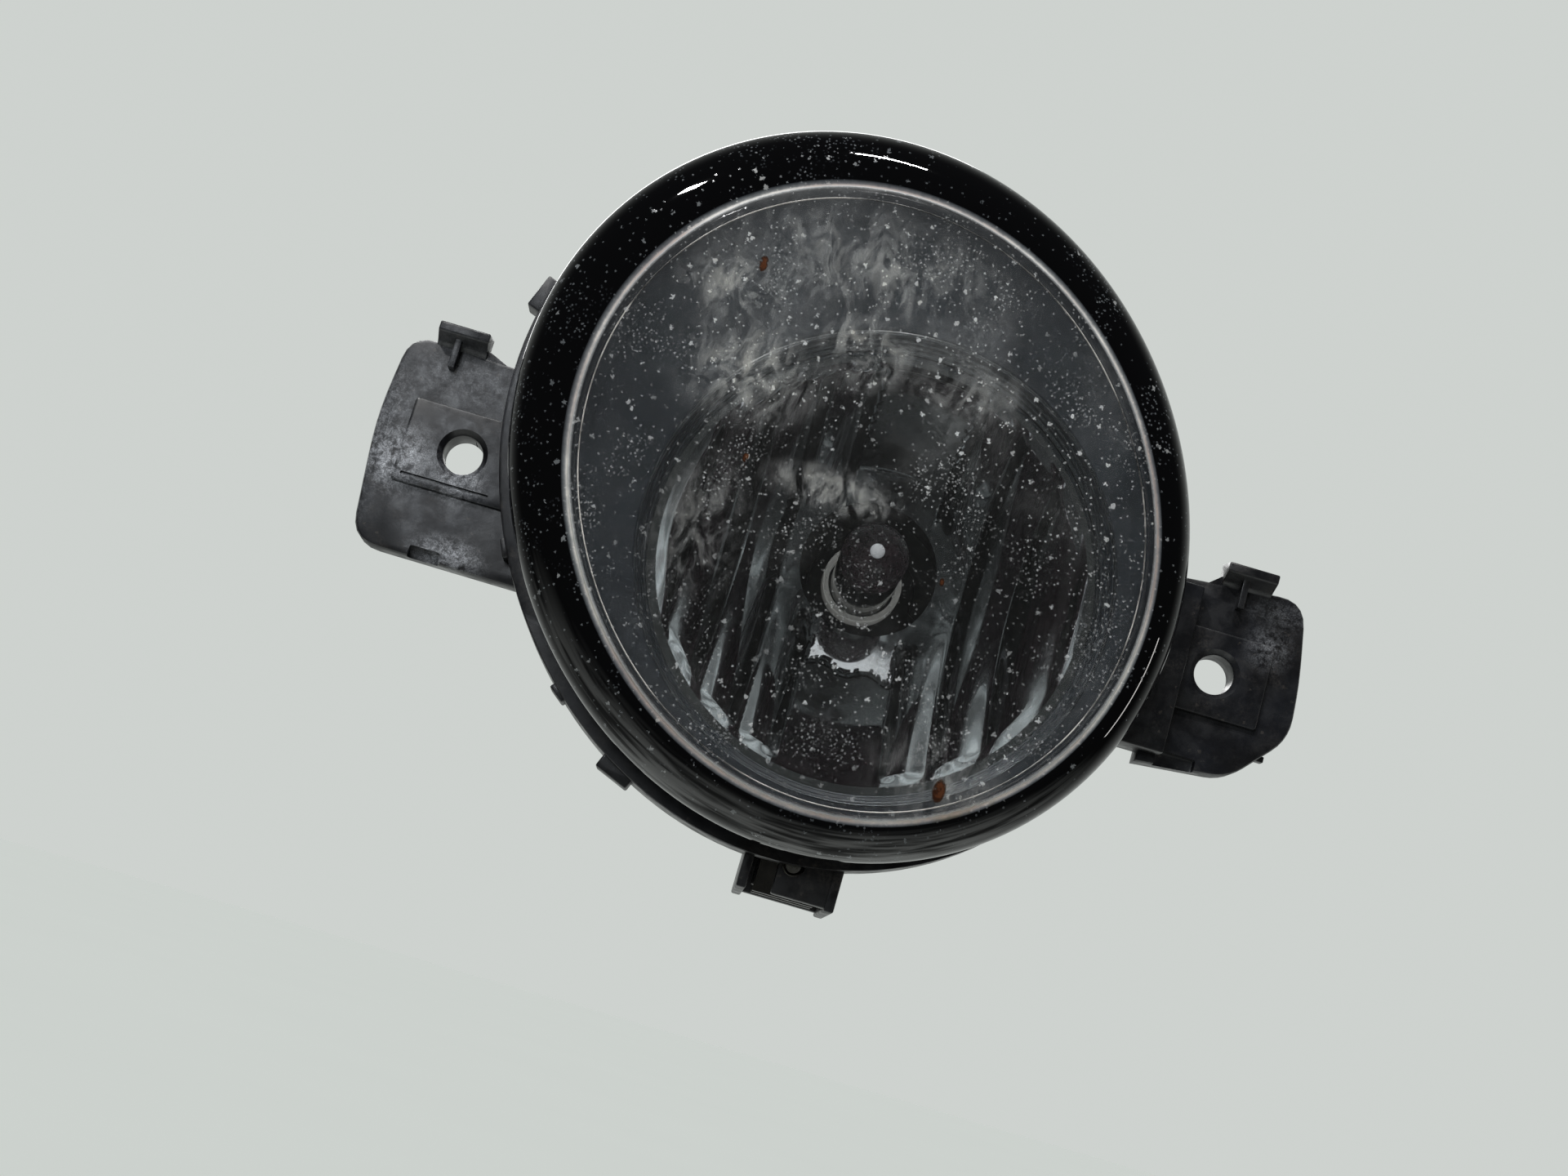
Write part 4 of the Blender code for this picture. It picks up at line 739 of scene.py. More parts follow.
def place_light(name, place, target, size, power, colour=(1, 1, 1), receivers=unlit, shades=None):
    data = bpy.data.lights.new(name, "AREA")
    data.shape = "RECTANGLE"
    data.size, data.size_y = size
    data.energy = power
    data.color = colour
    lamp = linked(name, data)
    lamp.location = place
    lamp.rotation_euler = (Vector(target) - Vector(place)).to_track_quat("-Z", "Y").to_euler()
    lamp.light_linking.receiver_collection = receivers
    lamp.light_linking.blocker_collection = shades
    lamp.visible_camera = False


def place_sun(strength):
    """Soft even light from above."""
    data = bpy.data.lights.new("sky_light", "SUN")
    data.energy = strength
    data.angle = math.radians(70)
    lamp = linked("sky_light", data)
    lamp.rotation_euler = (math.radians(12), math.radians(-8), 0)
    lamp.visible_glossy = False


def place_world():
    """A pale room: bright behind the lamp, patchy below it, and dim on the side that the lens faces."""
    world = bpy.data.worlds.new("room")
    bpy.context.scene.world = world
    world.use_nodes = True
    room = Nodes(world.node_tree)
    sky = room.tree.nodes["Background"]
    way = room.add("TexCoord").outputs["Generated"]
    parts = room.add("SeparateXYZ")
    room.fill(parts.inputs[0], way)
    behind = room.ramp(parts.outputs["Y"], -0.15, 0.9, 0.04, 0.6)
    below = room.ramp(parts.outputs["Z"], -0.95, -0.12, 1.1, 0.0)
    patches = room.ramp(room.noise(3.4, 3.0, 0.5, 0.0, way), 0.36, 0.62, 0.2, 1.3)
    level = room.add("Mix")
    room.fill(level.inputs["Factor"], room.add("LightPath").outputs["Is Camera Ray"])
    room.fill(level.inputs["A"], room.most(behind, room.times(below, patches)))
    room.fill(level.inputs["B"], BACKGROUND_LEVEL)
    room.fill(sky.inputs["Strength"], level.outputs["Result"])
    room.fill(sky.inputs["Color"], BACKGROUND)


MIDDLE = (0, 0, 0)
WHITE = (1, 1, 1)

bpy.context.scene.view_settings.view_transform = "Standard"
place_camera()
place_floor()
place_world()
place_sun(0.9)
place_light("key", (-0.42, -0.55, 0.62), (-0.01, 0, 0), (0.07, 0.03), 3.6)
place_light("strip", (-0.06, -0.50, 0.78), MIDDLE, (0.14, 0.016), 3.0)
place_light("side", (0.80, -0.35, -0.02), MIDDLE, (0.05, 0.3), 0.6, (1.0, 0.97, 0.94))
place_light("ear", (-0.26, -0.62, 0.16), (-0.08, 0, 0), (0.20, 0.20), 0.9, (0.90, 0.95, 1.0), ears_only)
for name, place, size, power in (
    ("above", (0.04, -0.57, 0.67), (0.45, 0.35), 1.5),
    ("lower_left", (-0.126, -0.228, -0.147), (0.22, 0.22), 0.30),
    ("lower_right", (0.156, -0.210, -0.147), (0.22, 0.22), 0.30),
):
    place_light(name, place, MIDDLE, size, power, WHITE, inner_parts, blockers)
place_light("rear", (-0.2, 0.9, 0.5), (0, 0.02, 0), (0.5, 0.5), 3.0)


# ---------------------------------------------------------------- lens

SKIRT_BACK = lens_high.y
RIM_WIDEST = SKIRT_BACK - 4.6
FACE_Y = RIM_WIDEST - 6.5
FACE_APEX = lens_low.y
RIM_FRONT = FACE_Y + 0.6
WALL = 2.5
BULGE_STEPS = 24
FACE_SHARES = [0.02, 0.08, 0.16, 0.25, 0.35, 0.45, 0.55, 0.65, 0.74, 0.82, 0.89, 0.94, 0.975, 0.99]
# Beyond the face's radius, behind its edge, how clear, how strongly the painted highlight along the face's
# edge shows.
FACE_EDGE = [
    (-0.12, 0.0, 1.0, 0.5), (0.05, 0.06, 1.0, 1.0), (0.14, 0.25, 0.6, 1.0), (0.2, 0.52, 0.3, 1.0),
    (0.36, 0.6, 0.0, 0.9),
]
# Radius, and distance ahead of the skirt's back.
SKIRT = [(54.9, 2.6), (54.55, 0.4), (54.4, 0.15), (54.25, 0), (53.9, 0), (SKIRT_IN, 0), (51.95, 0.2)]


def rim_curve(offset, turn):
    """A station of the rim's bulge, at a depth below its outer skin. Turn runs from 0 to 1."""
    tau = math.pi / 2 * turn
    start = FACE_R + 0.6
    wide, deep = RIM_R - start, RIM_WIDEST - RIM_FRONT
    nr, ny = deep * math.sin(tau), -wide * math.cos(tau)
    size = math.hypot(nr, ny)
    share = math.sin(tau)
    radius = start + wide * share - offset * nr / size
    y = RIM_WIDEST - deep * math.cos(tau) - offset * ny / size
    centre = (FACE[0] + (RIM[0] - FACE[0]) * share, FACE[1] + (RIM[1] - FACE[1]) * share)
    return st(centre, radius, y, FACE_STRETCH + (RIM_STRETCH - FACE_STRETCH) * share)


def face_station(share, y_edge):
    """An oval on the crowned face, at a share of its radius."""
    y = y_edge + (FACE_APEX - FACE_Y) * (1 - share * share)
    return st(FACE, FACE_R * share, y, FACE_STRETCH * share)


def make_lens():
    """One closed moulding, keeping at each of its points how clear it is and how strongly the painted edge
    highlight shows there.
    """
    stations = [(face_station(share, FACE_Y), 1.0, 0.0) for share in FACE_SHARES]
    for beyond, behind, clear, pale_mark in FACE_EDGE:
        stations.append((st(FACE, FACE_R + beyond, FACE_Y + behind, FACE_STRETCH), clear, pale_mark))
    for k in range(BULGE_STEPS + 1):
        stations.append((rim_curve(0.0, k / BULGE_STEPS), 0.0, 0.45 if k == 0 else 0.0))
    for radius, ahead in SKIRT:
        stations.append((rim(radius, SKIRT_BACK - ahead), 0.0, 0.0))
    for k in range(BULGE_STEPS, -1, -1):
        stations.append((rim_curve(WALL, k / BULGE_STEPS), 0.0, 0.0))
    for beyond, behind in ((0.3, WALL + 0.45), (-0.2, WALL + 0.1)):
        stations.append((st(FACE, FACE_R + beyond, FACE_Y + behind, FACE_STRETCH), 1.0, 0.0))
    for share in FACE_SHARES[-2::-1]:
        stations.append((face_station(share, FACE_Y + WALL), 1.0, 0.0))
    poles = ((FACE[0], FACE_APEX, FACE[1]), (FACE[0], FACE_APEX + WALL, FACE[1]))
    mesh = loft([ring(s) for s, clear, pale_mark in stations], closed=False, poles=poles)
    for name, column, at_poles in (("face", 1, 1.0), ("edge", 2, 0.0)):
        layer = mesh.attributes.new(name, "FLOAT", "POINT")
        values = []
        for row in stations:
            values += [row[column]] * SIDES
        layer.data.foreach_set("value", values + [at_poles] * 2)
    lens = add_piece("lens_clear", mesh, CLEAR, "lamp_unit", ["lens"], 50)
    lens.visible_shadow = False


def make_face_trim():
    """A thin pale bead on the back of the face, just inside the black rim: a painted highlight where the
    face's inner step catches the light.
    """
    mesh = bead(FACE, 45.3, FACE_Y + WALL + 0.2, 0.11, FACE_STRETCH, 10)
    add_piece("face_edge_line", mesh, PAINTED_EDGE_LINE, "lamp_unit")


def make_seal():
    low, high = seal_low.y, seal_high.y
    outer = [(rim(SKIRT_R, low), 0.3), (rim(SKIRT_R, high), 0.3)]
    inner = [(rim(SKIRT_IN, high), 0.2), (rim(SKIRT_IN, low), 0.2)]
    mesh = loft([ring(s) for s in eased(outer + inner)])
    add_piece("lens_seal_bead", mesh, RUBBER, "lamp_unit", ["lens_seal"])


make_lens()
make_face_trim()
make_seal()


# ---------------------------------------------------------------- bezel and reflector

BEZEL_R = 50.2
BEZEL_WALL = 1.5
BEZEL_STEPS = 4
# Radius, distance behind the bezel's front, half thickness.
APERTURE_BEADS = [(36.55, -0.05, 0.24), (35.95, 1.7, 0.2), (35.6, 3.0, 0.2), (35.2, 4.3, 0.24)]


def make_bezel():
    """The dark mask, with a stepped wall around its round aperture."""
    front, back = bezel_low.y, bezel_high.y
    path = [(rim(BEZEL_R, front), 0.5), (mouth(36.9, front), 0.3)]
    for step in range(BEZEL_STEPS):
        radius, y = 36.5 - 0.36 * step, front + 0.4 + 1.25 * step
        path += [(mouth(radius, y), 0.12), (mouth(radius - 0.08, y + 1.05), 0.12)]
    inside = BEZEL_R - BEZEL_WALL
    path += [
        (mouth(35.2, back), 0.15), (mouth(36.5, back), 0.15), (mouth(37.5, front + BEZEL_WALL), 0.3),
        (rim(inside, front + BEZEL_WALL), 0.3), (rim(inside, back - 1.5), 0.2),
        (rim(BEZEL_R, back - 1.5), 0.2),
    ]
    mesh = loft([ring(s) for s in eased(path)])
    piece = add_piece("bezel_ring", mesh, BEZEL_DARK, "lamp_unit", ["bezel"])
    blockers.objects.link(piece)


def make_aperture_rings():
    """Fine clear beads around the bezel's round opening."""
    beads = [bead(MOUTH, radius, bezel_low.y + y, thick) for radius, y, thick in APERTURE_BEADS]
    add_piece("aperture_beads", several(beads), RING_GREY, "lamp_unit")


MIRROR_R = 33.5
MIRROR_FRONT = mirror_low.y
MIRROR_DEPTH = 14.7 - MIRROR_FRONT
HOLE_R = 11.7
FLANGE_R = 38.3
FLANGE_BACK = MIRROR_FRONT + 1.7
MIRROR_X = 1.0
PANEL = 7.6
FLUTE = 7.4
FACET_Z = -14.5
FACET_Y = 11.9
FACET_SLOPE = 0.36
FACET_LOW = -18.2


def facet(point):
    """The flat panel under the bulb: how far a point of the bowl moves along y onto it."""
    if point.z > -5.0:
        return 0.0
    beside = min(1.0, max(0.0, (PANEL - 0.2 - abs(point.x - MIRROR_X)) / 0.5))
    ragged = 0.7 * math.sin(0.8 * point.x + 1.2)
    below = min(1.0, max(0.0, (point.z - FACET_LOW + ragged) / 0.9 + 1.0))
    return beside * below * (FACET_Y + FACET_SLOPE * (point.z - FACET_Z) - point.y)


def flute(x, z):
    """How far the mirror stands in from its smooth bowl at a point, as its facets ask."""
    across = abs(x - MIRROR_X)
    if across < PANEL:
        return -0.35 if z > 0 else 0.0
    wave = math.sin(math.pi * (across - PANEL) / FLUTE)
    lean = 0.35 * math.sin(2 * math.pi * (across - PANEL) / FLUTE)
    return 0.62 * (math.sqrt(wave * wave + 0.01) - 0.1) + 0.12 * lean


def mirror_station(share, behind=0.0, outside=0.0):
    """A circle of the mirror's bowl, from its mouth at 0 to the bulb's hole at 1."""
    radius = math.sqrt(MIRROR_R ** 2 + (HOLE_R ** 2 - MIRROR_R ** 2) * share)
    centre = (MOUTH[0] * (1 - share), MOUTH[1] * (1 - share))
    return st(centre, radius + outside, MIRROR_FRONT + MIRROR_DEPTH * share + behind)


def make_reflector():
    """The fluted bowl with its flange, as one wall."""
    sides, steps, back_steps = 384, 72, 24
    rings = []
    for radius, y in ((FLANGE_R, FLANGE_BACK), (FLANGE_R, MIRROR_FRONT), (MIRROR_R + 0.25, MIRROR_FRONT)):
        rings.append(ring(mouth(radius, y), sides))
    for k in range(steps + 1):
        share = k / steps
        station = mirror_station(share)
        fade = min(1.0, share * 14, (1 - share) * 6)
        loop = []
        for p in ring(station, sides):
            out = Vector((p.x - station[0], 0, p.z - station[1])).normalized()
            amount = flute(p.x, p.z - MOUTH[1] - 4) * fade
            moved = p - out * amount * 0.75 - Vector((0, amount * 0.55, 0))
            loop.append(moved + Vector((0, facet(moved), 0)))
        rings.append(loop)
    for k in range(back_steps, -1, -1):
        share = k / back_steps
        behind = 1.9 * share + (1.7 if k == 0 else 0)
        rings.append(ring(mirror_station(share, behind, 2.0), sides))
    mirror = add_piece(
        "reflector_mirror_bowl", loft(rings), CHROME, "lamp_unit", ["reflector"], 30
    )
    inner_parts.objects.link(mirror)


make_bezel()
make_aperture_rings()
make_reflector()


# ---------------------------------------------------------------- bulb

GLASS_R = 5.52
GLASS_WALL = 0.8
GLASS_START = glass_low.y + 0.9
DOME = 4.6
PAINT = 0.1
PAINT_GAP = 0.02
CAP_LENGTH = 9.0


def make_glass():
    inner_r, inner_start = GLASS_R - GLASS_WALL, GLASS_START + GLASS_WALL
    foot = glass_high.y
    profile = [(0.0, GLASS_START, 0), *dome(GLASS_R, GLASS_START, DOME, 8)]
    profile += [(GLASS_R, foot, 0), (inner_r, foot, 0)]
    profile += [*dome(inner_r, inner_start, 3.9, 8)[::-1], (0.0, inner_start, 0)]
    tube = add_piece(
        "bulb_glass_tube", turned(profile, sides=72), BULB_GLASS, "bulb", ["bulb_glass"]
    )
    tube.visible_shadow = False


def make_cap():
    """The black paint over the bulb's front."""
    outer, inner = GLASS_R + PAINT, GLASS_R + PAINT_GAP
    back = glass_low.y + CAP_LENGTH
    profile = [(0.0, GLASS_START - PAINT, 0), *dome(outer, GLASS_START - PAINT, DOME + PAINT, 10)]
    profile += [(outer, back, 0.05), (inner, back, 0)]
    profile += [*dome(inner, GLASS_START - PAINT_GAP, DOME, 10)[::-1], (0.0, GLASS_START - PAINT_GAP, 0)]
    add_piece("bulb_painted_cap", turned(profile, sides=72), CAP_BLACK, "bulb")


def make_tip():
    """The bead of glass that the paint leaves open, made pale and milky as a painted highlight."""
    tip, steps = glass_low.y, 10
    profile = [(0.0, tip, 0)]
    for k in range(1, steps):
        a = math.pi * k / steps
        profile.append((1.25 * math.sin(a) ** 0.9, tip + 0.95 * (1 - math.cos(a)), 0))
    profile.append((0.0, tip + 1.9, 0))
    drop = add_piece("bulb_tip_bead", turned(profile, sides=36), TIP_GLASS_PAINTED_GLINT, "bulb")
    drop.visible_shadow = False
    inner_parts.objects.link(drop)


def make_collar():
    front, back = collar_low.y, collar_high.y
    outer, inner = collar_high.x, 5.95
    profile = [
        (outer - 0.1, front, 0.3), (outer, front + 0.5, 0.2), (outer, back, 0.2), (inner, back, 0.1),
        (inner, front, 0.25),
    ]
    mesh = turned(profile, sides=72, closed=True)
    collar = add_piece("bulb_collar_ring", mesh, COLLAR_GREY, "bulb", ["bulb_collar"])
    inner_parts.objects.link(collar)


make_glass()
make_cap()
make_tip()
make_collar()


# ---------------------------------------------------------------- mounting frame

PLATE_FRONT = frame_low.y
PLATE_BACK = PLATE_FRONT + 2.8
EDGE_BACK = PLATE_FRONT + 8.0
EDGE_WALL = 1.8
OPENING_R = 42.5
EAR_FRONT = -5.0
EAR_BACK = -0.6
EAR_PLATE_BACK = EAR_FRONT + 2.6
PAD_FRONT = EAR_FRONT - 0.8
# From, to and spacing of the ribs behind each ear, measured from its hole.
EAR_RIBS = {-1: (-13.5, 12.0, 6.2), 1: (-12.0, 11.5, 5.4)}
# Each hook's middle and foot, and each pad's ends, measured from the ear's hole.
HOOKS = {-1: (-5.4, 15.2), 1: (1.8, 13.5)}
PADS = {-1: (-9.9, 9.0), 1: (-9.0, 8.5)}
# Each notch in an ear's lower edge: its ends and its height from the hole.
NOTCHES = {-1: (-3.6, 1.5, -18.3), 1: (-6.0, 0.5, -16.2)}
HOOP_LUGS = (128, 160, 205, 232, 248, 318, 340, 22, 48)
BIG_LUGS = (160, 248)
HOOP_RIBS = (28, 44, 60, 76, 92, 108, 124, 140, 156, 208, 224, 240)


def ear_outline(side):
    x, z = HOLE_X[side], EAR_HOLE_Z
    inner = MOUTH[0] + side * 49.0
    if side < 0:
        points = [
            (inner, z + 15.6, 0), (x - 14.0, z + 17.2, 4.5), (x - 15.3, z + 2.6, 6.0),
            (x - 13.0, z - 18.2, 4.5), (inner, z - 18.4, 0),
        ]
    else:
        points = [
            (inner, z - 17.1, 0), (x + 6.1, z - 15.6, 3.0), (x + 14.3, z - 6.8, 3.5),
            (x + 13.9, z + 2.6, 5.0), (x + 11.7, z + 16.0, 4.5), (inner, z + 14.2, 0),
        ]
    return rounded(points)


def ear_shell(side):
    """The ear's plate with a rounded front edge and a wall around its back."""
    outline = ear_outline(side)
    rings = []
    for drop, y in (
        (0.55, EAR_FRONT), (0.2, EAR_FRONT + 0.12), (0.0, EAR_FRONT + 0.5), (0.0, EAR_BACK - 0.25),
        (0.25, EAR_BACK), (1.6, EAR_BACK), (1.8, EAR_BACK - 0.2), (1.8, EAR_PLATE_BACK),
    ):
        rings.append([Vector((p.x, y, p.y)) for p in inset(outline, drop)])
    return loft(rings, closed=False)


def make_hook(side):
    """The hook on top of an ear, with the wedge beside it and the rib under it."""
    middle, foot_z = HOLE_X[side] + HOOKS[side][0], EAR_HOLE_Z + HOOKS[side][1]
    half, reach, wall, sunk = 4.2, 3.0, 1.5, 3.0
    top, nose = foot_z + 5.2, EAR_FRONT - reach
    low = foot_z - sunk
    section = rounded([
        (EAR_PLATE_BACK, low, 0), (EAR_PLATE_BACK, top, 0.3), (nose, top - 0.6, 0.3),
        (nose, top - 0.6 - wall, 0.3), (EAR_FRONT + 0.2, foot_z + 1.5, 1.0), (EAR_FRONT + 0.2, low, 0),
    ], 3)
    # The section is drawn with y across and z up, and then laid along x.
    swap = Matrix(((0, 1, 0, 0), (1, 0, 0, 0), (0, 0, 1, 0), (0, 0, 0, 1)))
    hook = slab(section, -half, half, 0.25, Matrix.Translation((middle, 0, 0)) @ swap)
    if side < 0:
        near, far = middle + half - 0.6, middle + half + 4.0
        slope = [(near, low, 0), (far, low, 0), (far, foot_z + 1.0, 0.8), (near, top - 2.2, 0)]
    else:
        near, far = middle - half + 0.6, middle - half - 2.4
        slope = [(far, low, 0), (far, foot_z + 0.5, 0.8), (near, top - 2.2, 0), (near, low, 0)]
    wedge = slab(rounded(slope, 3), EAR_FRONT + 0.35, EAR_PLATE_BACK - 0.3, 0.15)
    left, right = middle - 1.2, middle - 0.1
    rib = block((left, EAR_FRONT - 1.9, foot_z - 2.2), (right, EAR_FRONT + 0.6, top - 1.0), 0.15)
    return hook, wedge, rib


def make_pad(side):
    x, z = HOLE_X[side], EAR_HOLE_Z
    left, right = x + PADS[side][0], x + PADS[side][1]
    low, high = z - 7.1, z + 7.0
    outline = rounded([(left, low, 0.6), (right, low, 0.6), (right, high, 0.6), (left, high, 0.6)], 3)
    return slab(outline, PAD_FRONT, EAR_FRONT + 0.6, 0.35)


def add_ear(moulding, side):
    x, z = HOLE_X[side], EAR_HOLE_Z
    boss = peg(7.5, EAR_FRONT + 1.0, SEATS["left_ear_seat"][1], 0.3)
    moulding.join(ear_shell(side), turned(boss, (x, 0, z), sides=64), make_pad(side), *make_hook(side))
    ends = sorted((MOUTH[0] + side * 43.0, MOUTH[0] + side * 52.5))
    bridge_low = (ends[0], PLATE_FRONT + 0.3, MOUTH[1] - 13.0)
    moulding.join(block(bridge_low, (ends[1], -1.6, MOUTH[1] + 15.0)))
    start, end, spacing = EAR_RIBS[side]
    for k in (-2, -1, 0, 1, 2):
        at = z + spacing * k
        low, high = (x + start, EAR_FRONT + 2.0, at - 0.5), (x + end, EAR_BACK - 0.6, at + 0.5)
        moulding.join(block(low, high, 0.15))


def cut_ear(moulding, side):
    """The countersunk hole, the pivot pin's bore and the notch in the lower edge."""
    x, z = HOLE_X[side], EAR_HOLE_Z
    front, back = PAD_FRONT, 1.0
    hole = [
        (0, front - 1, 0), (4.9, front - 1, 0), (4.1, front, 0.15), (3.2, front + 0.9, 0.3), (3.2, back, 0),
        (0, back, 0),
    ]
    pivot = (MOUTH[0], (pin_low.y + pin_high.y) / 2, MOUTH[1])
    moulding.cut(turned(hole, (x, 0, z), sides=64), turned(peg(2.3, 42.0, 50.9), pivot, (side, 0, 0), 40))
    start, end, height = NOTCHES[side]
    low, high = (x + start, EAR_FRONT - 1.0, z + height - 2.0), (x + end, EAR_FRONT + 1.6, z + height + 1.9)
    moulding.cut(block(low, high, 0.4))


CHANNEL_HALF = 6.3
CHANNEL_WALL = 1.6
CHANNEL_FRONT = PLATE_BACK - 0.6
CHANNEL_BACK = frame_high.y


def add_channel(moulding):
    """The channel that holds the aim screw: two side walls, a half front wall and a back wall."""
    top, bottom = SCREW[1] + 4.4, SCREW[1] - 5.5
    left, right = SCREW[0] - CHANNEL_HALF, SCREW[0] + CHANNEL_HALF
    front, back = CHANNEL_FRONT, CHANNEL_BACK
    moulding.cut(block((left, front + 1.2, bottom - 0.6), (right, EDGE_BACK + 0.6, top), 0))
    moulding.join(
        block((left - CHANNEL_WALL, front - 0.2, bottom), (left, back, top)),
        block((right, front - 0.2, bottom), (right + CHANNEL_WALL, back, top)),
        block((SCREW[0] - 2.3, front, bottom + 0.4), (right + 0.6, front + 3.0, top - 0.4), 0.25),
        block((left - 0.6, back - 2.4, bottom + 0.6), (right + 0.6, back - 0.2, top - 0.6), 0.25),
    )


def hoop_reach(angle):
    return HOOP_R + HOOP_STRETCH * math.cos(2 * (math.radians(angle) - LONG_AXIS))


def hoop_lug(angle):
    """A lug on the hoop's outside."""
    reach = hoop_reach(angle)
    out, half = (1.8, 3.0) if angle in BIG_LUGS else (0.7, 1.6)
    return spoke(HOOP, angle, (reach - 1.0, PLATE_FRONT + 0.7, -half), (reach + out, -3.5, half))


def hoop_rib(angle):
    """A rib on the plate's back, from the round opening out to the edge."""
    way = Vector((math.cos(math.radians(angle)), math.sin(math.radians(angle))))
    apart = Vector(MOUTH) - Vector(HOOP)
    along = apart.dot(way)
    start = along + math.sqrt(OPENING_R ** 2 - apart.length_squared + along ** 2) + 1.0
    end = hoop_reach(angle) - 0.8
    return spoke(HOOP, angle, (start, PLATE_BACK - 0.6, -0.6), (end, EDGE_BACK - 1.2, 0.6), 0.15)


def make_frame():
    inside = HOOP_R - EDGE_WALL
    path = [
        (hoop(HOOP_R, PLATE_FRONT), 0.6), (hoop(HOOP_R, EDGE_BACK), 0.35), (hoop(inside, EDGE_BACK), 0.35),
        (hoop(inside, PLATE_BACK), 0.3), (mouth(OPENING_R, PLATE_BACK), 0.3),
        (mouth(OPENING_R, PLATE_FRONT), 0.5),
    ]
    moulding = Moulding(loft([ring(s, 160) for s in eased(path, steps=2)]))
    for side in (-1, 1):
        add_ear(moulding, side)
    add_channel(moulding)
    moulding.join(*[hoop_lug(angle) for angle in HOOP_LUGS])
    moulding.join(*[hoop_rib(angle) for angle in HOOP_RIBS])
    for side in (-1, 1):
        cut_ear(moulding, side)
    for radius, y in ((1.8, CHANNEL_FRONT + 3.0), (2.3, CHANNEL_BACK)):
        moulding.cut(turned(peg(radius, y - 3.2, y + 0.8), (SCREW[0], 0, SCREW[1]), sides=32))
    x, z = HOLE_X[-1], EAR_HOLE_Z
    slit = block((x - 8.6, EAR_FRONT - 1.4, z - 5.9), (x + 6.0, EAR_FRONT - 0.2, z - 5.4), 0)
    moulding.cut(slit)
    piece = add_piece(
        "frame_moulding", moulding.mesh(), FRAME_BLACK, "frame", ["mounting_frame"], 32
    )
    ears_only.objects.link(piece)


make_frame()


# ---------------------------------------------------------------- housing

BOWL_R = 39.5
BOWL_WALL = 2.2
SHOULDER = -2.0
NECK_START = house_high.y - 6.0
NECK_R = 16.7
PLUG_HOLE_R = 9.7
TRAY_R = 51.0
TRAY_WALL = 1.6
TRAY_FRONT = seal_high.y + 0.3
TRAY_BACK = TRAY_FRONT + 2.0
BOWL_STEPS = 16
POST_ANGLES = (45, 120, 195)
POST_REACH = 42.3


def bowl(offset, share):
    """A circle of the housing's bowl, from its shoulder at 0 to its neck at 1."""
    ease = (math.cos(math.pi * share) + 1) / 2
    centre = (MOUTH[0] * ease, MOUTH[1] * ease)
    return st(centre, NECK_R + (BOWL_R - NECK_R) * ease + offset, SHOULDER + (NECK_START - SHOULDER) * share)


def housing_shell():
    back = house_high.y
    inside = TRAY_R - TRAY_WALL
    shares = [k / BOWL_STEPS for k in range(BOWL_STEPS + 1)]
    path = [
        (rim(SKIRT_R, TRAY_BACK), 0.4), (rim(SKIRT_R, TRAY_FRONT), 0.3), (rim(TRAY_R, TRAY_FRONT), 0.2),
        (rim(TRAY_R, house_low.y), 0.3), (rim(inside, house_low.y), 0.3), (rim(inside, TRAY_FRONT), 0.3),
        (mouth(BOWL_R - BOWL_WALL, TRAY_FRONT), 0.5),
    ]
    path += [(bowl(-BOWL_WALL, share), 0) for share in shares]
    path += [
        (bulb(NECK_R - BOWL_WALL, back - 2.5), 0.3), (bulb(PLUG_HOLE_R, back - 2.5), 0.2),
        (bulb(PLUG_HOLE_R, back), 0.3), (bulb(NECK_R, back), 0.6),
    ]
    path += [(bowl(0.0, share), 0) for share in shares[::-1]]
    path.append((mouth(BOWL_R, TRAY_BACK), 0.8))
    return loft([ring(s, 144) for s in eased(path)])


def nut_fork():
    """The fork that straddles the adjuster nut's groove."""
    half, slot_half = 5.4, 3.8
    left, right = SCREW[0] - half, SCREW[0] + half
    slot_left, slot_right = SCREW[0] - slot_half, SCREW[0] + slot_half
    top = MOUTH[1] - BOWL_R + 5.5
    slot_top = SCREW[1] + 3.5 + 0.8
    low = SCREW[1] - 4.0
    outline = [
        (left, top, 0), (left, low, 0.5), (slot_left, low, 0.4), (slot_left, slot_top, 0.6),
        (slot_right, slot_top, 0.6), (slot_right, low, 0.4), (right, low, 0.5), (right, top, 0),
    ]
    return slab(rounded(outline, 2), 3.8, 6.2, 0.2)


def bowl_rib(angle):
    """A thin rib that follows the bowl from its shoulder to its neck."""
    a = math.radians(angle)
    out = Vector((math.cos(a), 0, math.sin(a)))
    across = Vector((-math.sin(a), 0, math.cos(a)))
    rings = []
    for share in (0.14, 0.3, 0.45, 0.6, 0.75, 0.88):
        s = bowl(1.0, share)
        place = Vector((s[0] + s[2] * math.cos(a), s[4], s[1] + s[2] * math.sin(a)))
        loop = []
        for u, w in ((-0.6, -2.2), (0.6, -2.2), (0.6, -0.2), (0.35, 0.0), (-0.35, 0.0), (-0.6, -0.2)):
            loop.append(place + across * u + out * w)
        rings.append(loop)
    return loft(rings, closed=False)


